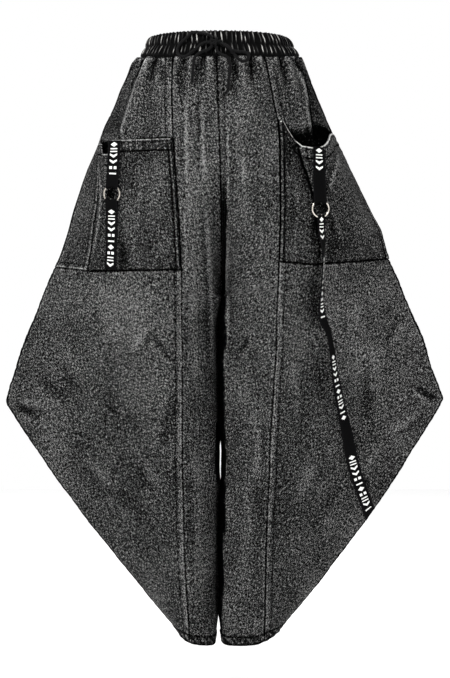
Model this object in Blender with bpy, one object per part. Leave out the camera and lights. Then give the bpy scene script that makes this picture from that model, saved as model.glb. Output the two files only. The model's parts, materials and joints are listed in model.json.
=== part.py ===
"""Wide batwing jeans, worn: a ruched elastic waistband with a tied drawstring, seamed legs that widen into a
pointed wing at each knee, two hanging patch pockets, webbing straps and two O-rings.

Metres, +Z up. The origin is the middle of the waistband, the front faces -Y, and +X is the wearer's left.
Heights are given as a drop below the origin, so drop = -z.

The cloth follows one form. At each drop a half section runs from the front centre seam, round the outer edge,
to the back centre seam. u counts along it: 0 at the front seam, 1 at the outer edge, 2 at the back seam.
q counts down a side: 0 at the top edge of the denim, 1 at the seam across the thigh, 2 at the hem.
"""

import math

import bmesh
import bpy
import numpy as np
from mathutils import Vector
from mathutils.bvhtree import BVHTree

# ---------------------------------------------------------------- driving sizes
DENIM = 0.0018  # thickness of the denim wall
BAND = 0.0024  # thickness of the elastic waistband's wall
WEBBING = 0.0012
SEAM_GAP = 0.0003
BAND_GAP = 0.0006  # from the waistband down to the denim
POCKET_GAP = 0.0006  # from a panel out to the pocket on it
REST_GAP = 0.0004  # from the cloth out to a strap that lies on it
BAND_TOP = -0.020  # drop of the waistband's upper edge
STRAP_WIDTH = 0.020
RING_RADIUS = 0.0131  # to the middle of the wire
WIRE_RADIUS = 0.0014
RING_OUTER = RING_RADIUS + WIRE_RADIUS
LOOP_RADIUS = 0.0026  # from the middle of the wire to the middle of the webbing round it
CORD_RADIUS = 0.0024
HEM_HEIGHT = 0.019

RIGHT = -1  # the wearer's right leg, at -X
LEFT = 1
SIDE_NAMES = {RIGHT: "right", LEFT: "left"}

# ---------------------------------------------------------------- the outline seen from the front
# drop, distance of the outer edge from x = 0
OUTLINE = {
    RIGHT: (
        (-0.032, 0.110),
        (-0.021, 0.1111),
        (-0.0116, 0.1132),
        (0.006, 0.1212),
        (0.022, 0.1348),
        (0.065, 0.1572),
        (0.124, 0.1822),
        (0.1516, 0.1930),
        (0.188, 0.2097),
        (0.256, 0.2318),
        (0.344, 0.2614),
        (0.391, 0.2820),
        (0.476, 0.3153),
        (0.533, 0.3345),
        (0.560, 0.3398),
        (0.620, 0.3023),
        (0.736, 0.2212),
        (0.833, 0.1422),
        (0.903, 0.0852),
        (0.928, 0.0632),
        (0.952, 0.0600),
    ),
    LEFT: (
        (-0.032, 0.110),
        (-0.021, 0.1111),
        (-0.0073, 0.1196),
        (0.006, 0.1270),
        (0.031, 0.1414),
        (0.072, 0.1570),
        (0.124, 0.1799),
        (0.142, 0.1880),
        (0.195, 0.2156),
        (0.248, 0.2412),
        (0.284, 0.2596),
        (0.331, 0.2740),
        (0.395, 0.3009),
        (0.460, 0.3287),
        (0.518, 0.3481),
        (0.554, 0.3618),
        (0.620, 0.3215),
        (0.732, 0.2508),
        (0.849, 0.1604),
        (0.905, 0.1148),
        (0.926, 0.0965),
        (0.952, 0.0930),
    ),
}

# ---------------------------------------------------------------- the section at each drop
# centre: depth of the cloth at the centre seam. inner: where the fold beside it turns (x from the seam, depth).
# crown: the front of the leg, and shoulder: where the front turns to the side (x as a share of the outer edge).
# edge: half the thickness at the outer edge. back: depth of the back as a share of the front.
SECTION_COLUMNS = (
    "drop", "centre", "inner_x", "inner", "crown_x", "crown", "shoulder_x", "shoulder", "edge", "back",
)
SECTION = (
    (-0.032, 0.0910, 0.020, 0.0910, 0.405, 0.0885, 0.790, 0.0640, 0.026, 1.00),
    (0.000, 0.0955, 0.020, 0.0955, 0.400, 0.0930, 0.770, 0.0680, 0.028, 1.00),
    (0.020, 0.0995, 0.022, 0.0995, 0.390, 0.0980, 0.780, 0.0700, 0.030, 1.00),
    (0.050, 0.1050, 0.025, 0.1050, 0.373, 0.1050, 0.840, 0.0700, 0.032, 1.02),
    (0.085, 0.1090, 0.028, 0.1090, 0.360, 0.1110, 0.845, 0.0730, 0.030, 1.05),
    (0.120, 0.1120, 0.030, 0.1130, 0.360, 0.1160, 0.825, 0.0760, 0.027, 1.08),
    (0.150, 0.1130, 0.030, 0.1150, 0.354, 0.1190, 0.820, 0.0780, 0.023, 1.10),
    (0.200, 0.1080, 0.026, 0.1170, 0.350, 0.1230, 0.840, 0.0760, 0.016, 1.10),
    (0.250, 0.0940, 0.022, 0.1150, 0.325, 0.1260, 0.820, 0.0720, 0.012, 1.07),
    (0.300, 0.0700, 0.018, 0.1080, 0.305, 0.1270, 0.780, 0.0680, 0.009, 1.03),
    (0.340, 0.0480, 0.015, 0.1000, 0.296, 0.1250, 0.740, 0.0640, 0.007, 1.00),
    (0.370, 0.0260, 0.013, 0.0900, 0.286, 0.1220, 0.655, 0.0620, 0.006, 1.00),
    (0.384, 0.0130, 0.012, 0.0840, 0.283, 0.1210, 0.650, 0.0610, 0.006, 1.00),
    (0.390, 0.0000, 0.010, 0.0800, 0.281, 0.1200, 0.645, 0.0600, 0.006, 1.00),
    (0.450, 0.0000, 0.010, 0.0700, 0.256, 0.1130, 0.610, 0.0560, 0.0055, 1.00),
    (0.560, 0.0000, 0.010, 0.0600, 0.206, 0.1010, 0.543, 0.0510, 0.005, 1.00),
    (0.650, 0.0000, 0.010, 0.0550, 0.228, 0.0910, 0.580, 0.0480, 0.005, 1.00),
    (0.750, 0.0000, 0.009, 0.0500, 0.258, 0.0810, 0.600, 0.0450, 0.0055, 1.00),
    (0.830, 0.0000, 0.008, 0.0460, 0.320, 0.0730, 0.680, 0.0430, 0.007, 1.00),
    (0.900, 0.0000, 0.007, 0.0420, 0.420, 0.0660, 0.780, 0.0420, 0.012, 1.00),
    (0.952, 0.0000, 0.006, 0.0400, 0.500, 0.0620, 0.820, 0.0420, 0.018, 1.00),
)
CROTCH = 0.390

# centre: x of the centre seam, and of the middle between the legs. gap: between the legs.
# lean: how far that gap turns out of the fore-and-aft plane, x per metre of y.
CENTRE_COLUMNS = ("drop", "centre", "gap", "lean")
CENTRE = (
    (-0.032, -0.0045, 0.0003, 0.00),
    (0.060, -0.0010, 0.0003, 0.00),
    (0.180, 0.0030, 0.0003, 0.00),
    (0.340, 0.0060, 0.0003, 0.00),
    (0.384, 0.0056, 0.0003, 0.00),
    (0.390, 0.0056, 0.0013, 0.00),
    (0.430, 0.0048, 0.0016, 0.12),
    (0.600, 0.0040, 0.0020, 0.12),
    (0.635, 0.0038, 0.0026, 0.00),
    (0.672, 0.0035, 0.0026, 0.00),
    (0.710, 0.0030, 0.0020, 0.12),
    (0.890, 0.0010, 0.0020, 0.12),
    (0.920, 0.0006, 0.0060, 0.00),
    (0.952, 0.0004, 0.0080, 0.00),
)

# ---------------------------------------------------------------- seams
# drop, distance from x = 0 of the long seam between the centre and the side panels
LONG_SEAM = {
    RIGHT: ((-0.032, 0.073), (0.020, 0.0722), (0.135, 0.0700), (0.213, 0.0638), (0.275, 0.0594),
            (0.352, 0.0559), (0.645, 0.0553), (0.804, 0.0524), (0.925, 0.0447), (0.952, 0.044)),
    LEFT: ((-0.032, 0.071), (0.020, 0.0735), (0.072, 0.0838), (0.122, 0.0925), (0.211, 0.0962),
           (0.318, 0.0945), (0.353, 0.0930), (0.488, 0.0893), (0.597, 0.0819), (0.804, 0.0745), (0.952, 0.0732)),
}
# drop, how far the side seam lies on the front, in from the outer edge
SIDE_SEAM = {
    RIGHT: ((0.0, 0.0), (0.100, 0.0), (0.130, 0.004), (0.155, 0.009), (0.190, 0.024), (0.250, 0.041),
            (0.350, 0.058)),
    LEFT: ((0.0, 0.0), (0.140, 0.004), (0.350, 0.006)),
}
# u, drop: the top edge of the denim, the seam across the thigh, and the hem
TOP_EDGE = ((0.0, 0.0205), (0.45, 0.0190), (1.0, 0.0080), (1.55, 0.0190), (2.0, 0.0205))
THIGH_SEAM = {
    RIGHT: ((0.0, 0.346), (0.25, 0.353), (0.75, 0.353), (0.90, 0.347), (1.0, 0.3442), (1.10, 0.347),
            (1.25, 0.353), (1.75, 0.353), (2.0, 0.346)),
    LEFT: ((0.0, 0.346), (0.32, 0.339), (0.55, 0.3440), (0.75, 0.3377), (1.0, 0.3306), (1.25, 0.3377),
           (1.45, 0.3440), (1.68, 0.339), (2.0, 0.346)),
}
HEM = {
    RIGHT: ((0.0, 0.9380), (0.30, 0.9425), (0.62, 0.9390), (1.0, 0.9276), (1.38, 0.9390), (1.70, 0.9425),
            (2.0, 0.9380)),
    LEFT: ((0.0, 0.9370), (0.30, 0.9425), (0.62, 0.9400), (1.0, 0.9254), (1.38, 0.9400), (1.70, 0.9425),
           (2.0, 0.9370)),
}

# ---------------------------------------------------------------- gathers and folds
# The denim's gathers below the waistband: waves in each panel, and the drop where they have faded.
GATHERS = {"centre": 3, "side": 4}
GATHER_DEPTH = 0.0034
GATHER_END = 0.135
# Each fold follows a straight line on one face. x is a distance from the middle, outwards.
FOLD_COLUMNS = ("side", "face", "top_x", "top_drop", "low_x", "low_drop", "half_width", "height")
FOLDS = (
    (RIGHT, "front", 0.115, 0.015, 0.152, 0.150, 0.008, 0.0045),
    (RIGHT, "front", 0.126, 0.020, 0.168, 0.145, 0.007, -0.0045),
    (LEFT, "front", 0.119, 0.010, 0.147, 0.140, 0.008, 0.0045),
    (LEFT, "front", 0.130, 0.015, 0.160, 0.140, 0.007, -0.0050),
    (LEFT, "front", 0.112, 0.150, 0.150, 0.300, 0.010, -0.0040),
    (LEFT, "front", 0.135, 0.370, 0.150, 0.520, 0.018, -0.0050),
    (LEFT, "front", 0.205, 0.530, 0.215, 0.640, 0.018, -0.0060),
    (LEFT, "front", 0.180, 0.400, 0.330, 0.560, 0.024, 0.0050),
    (RIGHT, "front", 0.120, 0.365, 0.105, 0.560, 0.022, 0.0050),
    (RIGHT, "front", 0.160, 0.640, 0.230, 0.500, 0.026, -0.0050),
    (RIGHT, "front", 0.190, 0.380, 0.290, 0.560, 0.026, 0.0050),
    (RIGHT, "front", 0.120, 0.720, 0.180, 0.620, 0.020, 0.0045),
    (LEFT, "front", 0.120, 0.640, 0.150, 0.800, 0.020, 0.0045),
    (RIGHT, "back", 0.115, 0.015, 0.150, 0.150, 0.009, 0.0045),
    (LEFT, "back", 0.117, 0.010, 0.148, 0.150, 0.009, 0.0045),
    (RIGHT, "back", 0.060, 0.240, 0.150, 0.300, 0.018, -0.0055),
    (LEFT, "back", 0.055, 0.260, 0.160, 0.290, 0.018, -0.0050),
    (RIGHT, "back", 0.130, 0.380, 0.300, 0.550, 0.026, 0.0055),
    (LEFT, "back", 0.150, 0.400, 0.310, 0.540, 0.024, 0.0055),
    (RIGHT, "back", 0.110, 0.560, 0.190, 0.680, 0.022, -0.0050),
    (LEFT, "back", 0.120, 0.600, 0.180, 0.740, 0.022, -0.0050),
)

# ---------------------------------------------------------------- reading the form
HALF_SAMPLES = 130
LEVEL_STEP = 0.004
BODY_ROUNDING = 0.015
LEVELS = np.arange(-0.032, 0.952 + LEVEL_STEP, LEVEL_STEP)


def read(rows, at, column=1):
    """A column of a table of rows, read at the values of its first column."""
    table = np.array(rows, float)
    return np.interp(at, table[:, 0], table[:, column])


def softened(values, reach):
    """A row of level values with its corners rounded."""
    steps = np.arange(-12, 13)
    weights = np.exp(-0.5 * (steps * LEVEL_STEP / reach) ** 2)
    padded = np.pad(values, 12, mode="edge")
    return np.convolve(padded, weights / weights.sum(), mode="valid")


def spaced(points, count):
    """count + 1 points evenly along a polyline."""
    lengths = np.linalg.norm(np.diff(points, axis=0), axis=1)
    along = np.concatenate([[0], np.cumsum(lengths)])
    at = np.linspace(0, along[-1], count + 1)
    return np.stack([np.interp(at, along, points[:, axis]) for axis in range(2)], axis=1)


def rounded(points, closed, centre, edge):
    """The half section with soft corners: wide ones on the body, small ones at the outer edge."""
    count = len(points)
    if closed:
        before, after = points[-41:-1], points[1:41]
    else:
        mirror = np.array([-1, 1])
        before = (points[1:41] * mirror + [2 * centre, 0])[::-1]
        after = (points[-41:-1] * mirror + [2 * centre, 0])[::-1]
    whole = np.concatenate([before, points, after])
    steps = np.linalg.norm(np.diff(whole, axis=0), axis=1)
    along = np.concatenate([[0], np.cumsum(steps)])
    here = along[40:40 + count]
    from_edge = np.abs(here - here[count // 2])
    reach = np.minimum(BODY_ROUNDING, 0.6 * edge + 0.35 * from_edge)
    weights = np.exp(-0.5 * ((here[:, None] - along[None, :]) / reach[:, None]) ** 2)
    return weights @ whole / weights.sum(axis=1, keepdims=True)


def half_section(side, row, centre, outer, closed):
    """One level's half section in x, distance outwards, and y."""
    front = [
        (centre, -row["centre"]),
        (centre + row["inner_x"], -row["inner"]),
        (row["crown_x"] * outer, -row["crown"]),
        (row["shoulder_x"] * outer, -row["shoulder"]),
        (outer, -row["edge"]),
        (outer, 0.0),
    ]
    if closed:
        front[1] = (centre, -row["inner"])
    back = [(x, -y * row["back"]) for x, y in reversed(front)]
    halves = [spaced(np.array(half), HALF_SAMPLES) for half in (front, back)]
    line = rounded(np.concatenate([halves[0], halves[1][1:]]), closed, centre, row["edge"])
    line[:, 0] = centre + (line[:, 0] - line[0, 0]) * (outer - centre) / (line[:, 0].max() - line[0, 0])
    return line


def make_form(side):
    """Points and outward normals on a grid of levels by u, for one side."""
    columns = {
        name: softened(read(SECTION, LEVELS, i), 0.004 if name == "centre" else 0.010)
        for i, name in enumerate(SECTION_COLUMNS)
    }
    columns["centre"] = np.where(LEVELS >= CROTCH, 0.0, columns["centre"])
    middle = {name: read(CENTRE, LEVELS, i) for i, name in enumerate(CENTRE_COLUMNS)}
    outer = softened(read(OUTLINE[side], LEVELS), 0.002)
    points = []
    for i in range(len(LEVELS)):
        row = {name: values[i] for name, values in columns.items()}
        centre = side * middle["centre"][i] + middle["gap"][i] / 2
        line = half_section(side, row, centre, outer[i], LEVELS[i] >= CROTCH)
        line[:, 0] *= side
        nearness = np.exp(-(((line[:, 0] - middle["centre"][i]) / 0.030) ** 2))
        line[:, 0] += middle["lean"][i] * line[:, 1] * nearness
        points.append(line)
    points = np.array(points)
    along = np.gradient(points, axis=1)
    normals = np.stack([-along[..., 1], along[..., 0]], axis=2) * -side
    normals /= np.linalg.norm(normals, axis=2, keepdims=True)
    return {"points": points, "normals": normals}


FORM = {side: make_form(side) for side in (RIGHT, LEFT)}


def on_grid(values, u, drop):
    """A grid of level by u read between its points."""
    level = np.clip((drop - LEVELS[0]) / LEVEL_STEP, 0, len(LEVELS) - 1.001)
    column = np.clip(u * HALF_SAMPLES, 0, 2 * HALF_SAMPLES - 0.001)
    i, j = np.floor(level).astype(int), np.floor(column).astype(int)
    a, b = (level - i)[..., None], (column - j)[..., None]
    upper = values[i, j] * (1 - b) + values[i, j + 1] * b
    lower = values[i + 1, j] * (1 - b) + values[i + 1, j + 1] * b
    return upper * (1 - a) + lower * a


def u_at_x(side, drop, x):
    """u on the front where the form is x from the middle."""
    found = []
    for one_drop, one_x in zip(np.ravel(drop), np.ravel(x), strict=True):
        level = int(round((one_drop - LEVELS[0]) / LEVEL_STEP))
        line = np.maximum.accumulate(FORM[side]["points"][level, :HALF_SAMPLES + 1, 0] * side)
        found.append(np.interp(one_x, line, np.linspace(0, 1, HALF_SAMPLES + 1)))
    return np.reshape(found, np.shape(drop))


SEAM_U = {
    side: {
        "long": u_at_x(side, LEVELS, read(LONG_SEAM[side], LEVELS)),
        "side": u_at_x(side, LEVELS, read(OUTLINE[side], LEVELS) - read(SIDE_SEAM[side], LEVELS)),
    }
    for side in (RIGHT, LEFT)
}


def drop_at(side, u, q):
    """The drop of a point q of the way down."""
    top, thigh, hem = read(TOP_EDGE, u), read(THIGH_SEAM[side], u), read(HEM[side], u)
    return np.where(q < 1, top + (thigh - top) * q, thigh + (hem - thigh) * (q - 1))


def seam_u(side, seam, q):
    """u of a named seam, q of the way down."""
    fixed = {"front centre": 0.0, "edge": 1.0, "back centre": 2.0}
    if seam in fixed:
        return fixed[seam]
    if seam == "back long":
        return 2 - seam_u(side, "long", q)
    if seam == "wing break":
        at_thigh, long_at_thigh, long = seam_u(side, "side", 1.0), seam_u(side, "long", 1.0), seam_u(side, "long", q)
        return long + (1 - long) * (at_thigh - long_at_thigh) / (1 - long_at_thigh)
    u = 0.5
    for _ in range(4):
        u = float(np.interp(drop_at(side, u, q), LEVELS, SEAM_U[side][seam]))
    return u


def fold_height(side, x, y, drop):
    """How far the named folds lift the cloth, at points of the form."""
    lift = np.zeros_like(x)
    for row in FOLDS:
        fold = dict(zip(FOLD_COLUMNS, row, strict=True))
        if fold["side"] != side:
            continue
        face = y < 0 if fold["face"] == "front" else y > 0
        ax, az = fold["top_x"], fold["top_drop"]
        bx, bz = fold["low_x"] - ax, fold["low_drop"] - az
        length = math.hypot(bx, bz)
        along = ((x * side - ax) * bx + (drop - az) * bz) / length ** 2
        across = ((x * side - ax) * bz - (drop - az) * bx) / length
        ends = np.clip(1.15 * np.sin(np.pi * np.clip(along, 0, 1)), 0, 1)
        lift += face * fold["height"] * ends * np.exp(-0.5 * (across / fold["half_width"]) ** 2)
    return lift


def gather_height(kind, f, drop):
    """The gathers in a panel: a whole number of waves, so that they meet those of its neighbours at the seams."""
    waves = GATHERS[kind]
    fade = np.clip((GATHER_END - drop) / (GATHER_END - 0.02), 0, 1) ** 1.4
    uneven = 1 + 0.25 * np.sin(5.1 * np.floor(np.clip(f, 0, 0.999) * waves) + waves)
    swell = 0.5 - 0.5 * np.cos(2 * np.pi * waves * f)
    return GATHER_DEPTH * fade * (2 * uneven * swell - 1)


def cloth_point(side, u, drop, out):
    """A point of the cloth's outer surface, moved out, as x, y, z."""
    base, normal = on_grid(FORM[side]["points"], u, drop), on_grid(FORM[side]["normals"], u, drop)
    lift = fold_height(side, base[..., 0], base[..., 1], drop)
    flat = base + normal * (lift + out)[..., None]
    return np.concatenate([flat, -drop[..., None]], axis=-1)


# ---------------------------------------------------------------- materials and meshes
def material(name, colour, roughness, metallic=0.0):
    made = bpy.data.materials.new(name)
    made.use_nodes = True
    shader = made.node_tree.nodes["Principled BSDF"]
    shader.inputs["Base Color"].default_value = (*colour, 1)
    shader.inputs["Roughness"].default_value = roughness
    shader.inputs["Metallic"].default_value = metallic
    return made


for old in list(bpy.data.objects):
    bpy.data.objects.remove(old)

WASHED_DENIM = material("washed_denim", (0.055, 0.052, 0.050), 0.85)
BLACK_ELASTIC = material("black_elastic", (0.008, 0.008, 0.009), 0.45)
BLACK_WEBBING = material("black_webbing", (0.010, 0.010, 0.011), 0.60)
BLACK_CORD = material("black_cord", (0.012, 0.012, 0.014), 0.65)
NICKEL = material("nickel", (0.62, 0.60, 0.56), 0.22, 1.0)


def add_mesh(name, points, faces, finish, smooth=True):
    """An object from points and faces, with its faces turned outwards."""
    mesh = bpy.data.meshes.new(name)
    mesh.from_pydata([tuple(map(float, p)) for p in points], [], faces)
    build = bmesh.new()
    build.from_mesh(mesh)
    bmesh.ops.recalc_face_normals(build, faces=build.faces)
    if build.calc_volume(signed=True) < 0:
        bmesh.ops.reverse_faces(build, faces=build.faces)
    build.to_mesh(mesh)
    build.free()
    if smooth:
        mesh.shade_smooth()
        mesh.set_sharp_from_angle(angle=math.radians(50))
    mesh.materials.append(finish)
    made = bpy.data.objects.new(name, mesh)
    bpy.context.scene.collection.objects.link(made)
    return made


def strip_faces(upper, lower, upper_f=None, lower_f=None):
    """Faces between two rows of point numbers, which may hold different counts at their own shares of the way."""
    if len(upper) == len(lower):
        return [
            corners
            for i in range(len(upper) - 1)
            for corners in ((upper[i], upper[i + 1], lower[i]), (upper[i + 1], lower[i + 1], lower[i]))
        ]
    faces, i, j = [], 0, 0
    while i < len(upper) - 1 or j < len(lower) - 1:
        upper_ahead = upper_f[i + 1] if i < len(upper) - 1 else 2.0
        lower_ahead = lower_f[j + 1] if j < len(lower) - 1 else 2.0
        if upper_ahead <= lower_ahead:
            faces.append((upper[i], upper[i + 1], lower[j]))
            i += 1
        else:
            faces.append((upper[i], lower[j + 1], lower[j]))
            j += 1
    return faces


def wall(name, outer_rows, inner_rows, shares, finish):
    """A closed wall between an outer and an inner sheet. Each is a list of rows of points, and shares holds how far
    along its row each point lies."""
    points, numbers = [], []
    for sheet in (outer_rows, inner_rows):
        numbered = []
        for row in sheet:
            numbered.append(list(range(len(points), len(points) + len(row))))
            points.extend(row)
        numbers.append(numbered)
    outer, inner = numbers
    faces = []
    for i in range(len(outer) - 1):
        faces += strip_faces(outer[i], outer[i + 1], shares[i], shares[i + 1])
        faces += [face[::-1] for face in strip_faces(inner[i], inner[i + 1], shares[i], shares[i + 1])]
    faces += strip_faces(inner[0], outer[0])
    faces += strip_faces(outer[-1], inner[-1])
    faces += strip_faces([row[0] for row in outer], [row[0] for row in inner])
    faces += [face[::-1] for face in strip_faces([row[-1] for row in outer], [row[-1] for row in inner])]
    return add_mesh(name, points, faces, finish)


# ---------------------------------------------------------------- panels
CROTCH_Q = 1 + (CROTCH - 0.346) / (0.9375 - 0.346)
HEM_Q = 2 - HEM_HEIGHT / 0.590
TIP_Q = 1.370
# q of each row of points
GATHERED_Q = (0.0, 0.05, 0.11, 0.17, 0.24, 0.31, 0.38)
UPPER_Q = (0.45, 0.54, 0.63, 0.72, 0.81, 0.90)
LOWER_Q = (1.035, CROTCH_Q, 1.12, 1.18, 1.25, 1.31, TIP_Q, 1.45, 1.53, 1.61, 1.69, 1.77, 1.85, 1.92)
# Columns of a row: each span runs to the seam that it names. Gathered rows have four columns to a gather.
PANELS = {
    "front_centre": ("front centre", (("long", 6),)),
    "back_centre": ("back long", (("back centre", 6),)),
    "front_side": ("long", (("side", 8),)),
    "back_side": ("side", (("edge", 2), ("back long", 8))),
    "front_wing": ("long", (("wing break", 8), ("edge", 2))),
    "back_wing": ("edge", (("back long", 8),)),
}
HEM_RISE = 0.0008


def panel_u(panel, side, q, gathered):
    """f and u across a panel at a height, drawn in by half a seam gap at each end."""
    start, spans = PANELS[panel]
    first, last = seam_u(side, start, q), seam_u(side, spans[-1][0], q)
    if gathered:
        u = np.linspace(first, last, 4 * GATHERS[panel.split("_")[1]] + 1)
    else:
        pieces, here = [[first]], first
        for seam, columns in spans:
            there = seam_u(side, seam, q)
            pieces.append(np.linspace(here, there, columns + 1)[1:])
            here = there
        u = np.concatenate(pieces)
    f = (u - first) / (last - first)
    points = cloth_point(side, u, drop_at(side, u, q), np.zeros_like(u))
    length = np.linalg.norm(np.diff(points, axis=0), axis=1).sum()
    f[0], f[-1] = SEAM_GAP / 2 / length, 1 - SEAM_GAP / 2 / length
    return f, first + (last - first) * f


def panel_rows(side, panel, q_values, out=None):
    """The outer sheet of a panel, the sheet one wall inside it, and the shares along each row."""
    kind = panel.split("_")[1]
    outer, inner, shares = [], [], []
    for q in q_values:
        f, u = panel_u(panel, side, q, kind in GATHERS and q <= GATHERED_Q[-2])
        drop = drop_at(side, u, q)
        if q <= 0:
            drop = drop + BAND_GAP
        gathers = gather_height(kind, f, drop) if kind in GATHERS else np.zeros_like(f)
        rise = np.zeros_like(f) if out is None else out(f, q)
        outer.append(cloth_point(side, u, drop, gathers + rise))
        inner.append(cloth_point(side, u, drop, gathers - DENIM))
        shares.append(f)
    return outer, inner, shares


def hem_rise(f, q):
    return np.full_like(f, HEM_RISE if q > HEM_Q else 0.0)


SEAM_Q = SEAM_GAP / 2 / 0.35
CENTRE_Q = GATHERED_Q + UPPER_Q + (1.0,) + LOWER_Q + (HEM_Q, HEM_Q + 0.002, 2.0)
SIDE_Q = GATHERED_Q + UPPER_Q + (1.0 - SEAM_Q,)
WING_Q = (1.0 + SEAM_Q,) + LOWER_Q + (HEM_Q, HEM_Q + 0.002, 2.0)
PANEL_Q = {"centre": CENTRE_Q, "side": SIDE_Q, "wing": WING_Q}

PANEL_ROWS = {}
for side, side_name in SIDE_NAMES.items():
    for panel in PANELS:
        rows = panel_rows(side, panel, PANEL_Q[panel.split("_")[1]], hem_rise)
        PANEL_ROWS[side, panel] = rows
        wall(f"{panel}_{side_name}", *rows, WASHED_DENIM)


# ---------------------------------------------------------------- waistband
RIDGES = 36  # a side
RIDGE_SHAPE = (-0.5, 1.0, -0.5)  # heights of a ridge's three columns
RIDGE_HEIGHT = 0.0016
CHANNEL_BULGE = 0.0025
# share of the way down the band, how far its channel bulges there
BAND_ROWS = ((0.0, 0.0), (0.25, 1.0), (0.5, 0.0), (0.75, 1.0), (1.0, 0.0))


def band_drop(u, share):
    return BAND_TOP + (read(TOP_EDGE, u) - BAND_TOP) * share


def round_the_waist(counts, row):
    """Points of a row that runs back along the right side and forward along the left."""
    u = (np.arange(counts) + 0.5) * 2 / counts
    right = cloth_point(RIGHT, u, *row(u, RIGHT))
    left = cloth_point(LEFT, u, *row(u, LEFT))
    return np.concatenate([right, left[::-1]])


def band_outside(share, bulge):
    def row(u, side):
        ridge = np.tile(RIDGE_SHAPE, RIDGES)
        uneven = 1 + 0.22 * np.sin(2.3 * np.repeat(np.arange(RIDGES), len(RIDGE_SHAPE)) + 1.1 * side)
        out = CHANNEL_BULGE * bulge - 0.0005 + (0.35 + 0.65 * bulge) * RIDGE_HEIGHT * ridge * uneven
        return band_drop(u, share), out

    return np.roll(round_the_waist(RIDGES * len(RIDGE_SHAPE), row), -1, axis=0)


def band_inside(share):
    def row(u, side):
        return band_drop(u, share), np.full_like(u, -0.0012 - BAND)

    return round_the_waist(RIDGES, row)


def add_waistband():
    outer = [band_outside(*row) for row in BAND_ROWS]
    inner = [band_inside(share) for share in (0.0, 0.5, 1.0)]
    points, numbers = [], []
    for row in outer + inner:
        first = len(points)
        points.extend(row)
        numbers.append(list(range(first, first + len(row))) + [first])
    outer, inner = numbers[:len(BAND_ROWS)], numbers[len(BAND_ROWS):]
    faces = []
    for sheet in (outer, inner):
        for upper, lower in zip(sheet, sheet[1:]):
            faces += strip_faces(upper, lower)
    wide, narrow = (np.linspace(0, 1, len(sheet[0])) for sheet in (outer, inner))
    faces += strip_faces(outer[0], inner[0], wide, narrow)
    faces += strip_faces(outer[-1], inner[-1], wide, narrow)
    add_mesh("waistband", points, faces, BLACK_ELASTIC)


add_waistband()

# ---------------------------------------------------------------- pockets
POCKET_BAND = 0.014  # height of the hem along the mouth
POCKET_HEM_RISE = 0.0008
POCKET_Q = (0.54, 0.63, 0.72, 0.81, 0.90, 1.0 - SEAM_Q)
# columns: shares across the side panel. mouth: share, drop of the mouth's edge.
# gape: share where the mouth stands out most, share it takes to close, how far, and how far down it fades.
POCKETS = {
    RIGHT: {
        "columns": (0.055, 0.125, 0.25, 0.375, 0.5, 0.625, 0.69, 0.72, 0.75, 0.79, 0.84, 0.875, 0.985),
        "mouth": ((0.0, 0.150), (0.69, 0.150), (0.72, 0.169), (0.75, 0.172), (0.79, 0.171), (0.84, 0.153), (1.0, 0.150)),
        "gape": (0.70, 0.22, 0.010, 0.050),
    },
    LEFT: {
        "columns": (0.055, 0.125, 0.25, 0.375, 0.5, 0.625, 0.75, 0.875, 0.985),
        "mouth": ((0.0, 0.124), (0.16, 0.149), (0.25, 0.160), (0.36, 0.163), (0.46, 0.161), (0.52, 0.157),
                  (0.60, 0.150), (0.75, 0.139), (0.875, 0.1345), (1.0, 0.134)),
        "gape": (0.42, 0.30, 0.022, 0.075),
    },
}


def on_panel(side, panel, q, f):
    """A point of a panel's outer facets, and u there."""
    q_values = PANEL_Q[panel.split("_")[1]]
    outer, _, shares = PANEL_ROWS[side, panel]
    i = int(np.clip(np.searchsorted(q_values, q) - 1, 0, len(q_values) - 2))
    down = (q - q_values[i]) / (q_values[i + 1] - q_values[i])
    start, spans = PANELS[panel]
    first, last = seam_u(side, start, q), seam_u(side, spans[-1][0], q)
    if len(outer[i]) != len(outer[i + 1]):
        ends = [np.array([np.interp(f, shares[k], outer[k][:, axis]) for axis in range(3)]) for k in (i, i + 1)]
        return ends[0] * (1 - down) + ends[1] * down, first + (last - first) * f
    columns = shares[i] * (1 - down) + shares[i + 1] * down
    j = int(np.clip(np.searchsorted(columns, f) - 1, 0, len(columns) - 2))
    over = (f - columns[j]) / (columns[j + 1] - columns[j])
    upper, lower = outer[i][j:j + 2], outer[i + 1][j:j + 2]
    if over + down <= 1:
        point = upper[0] + over * (upper[1] - upper[0]) + down * (lower[0] - upper[0])
    else:
        point = lower[1] + (1 - over) * (lower[0] - lower[1]) + (1 - down) * (upper[1] - lower[1])
    return point, first + (last - first) * f


def q_at_drop(side, panel, f, drop):
    q = 0.4
    for _ in range(6):
        u = on_panel(side, panel, q, f)[1]
        top, thigh = read(TOP_EDGE, u), read(THIGH_SEAM[side], u)
        q = (drop - top) / (thigh - top)
    return q


def pocket_rows(side):
    pocket = POCKETS[side]
    middle, reach, height, fade = pocket["gape"]
    outer, inner = [], []
    for row in range(4 + len(POCKET_Q)):
        outside, inside = [], []
        for f in pocket["columns"]:
            edge = read(pocket["mouth"], f)
            band = q_at_drop(side, "front_side", f, edge + POCKET_BAND)
            q = (
                q_at_drop(side, "front_side", f, edge),
                band,
                band + 0.004,
                (band + POCKET_Q[0]) / 2,
                *POCKET_Q,
            )[row]
            point, u = on_panel(side, "front_side", q, f)
            normal = on_grid(FORM[side]["normals"], np.array(u), np.array(-point[2]))
            gape = height * math.exp(-(((f - middle) / reach) ** 2) - ((-point[2] - edge) / fade) ** 2)
            lift = POCKET_GAP + gape + 0.003 * math.sin(math.pi * f) * math.sin(math.pi * min(q, 1)) ** 2
            rise = POCKET_HEM_RISE if row < 2 else 0.0
            direction = np.array([normal[0], normal[1], 0.0])
            inside.append(point + direction * lift)
            outside.append(point + direction * (lift + DENIM + rise))
        outer.append(np.array(outside))
        inner.append(np.array(inside))
    return outer, inner


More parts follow.
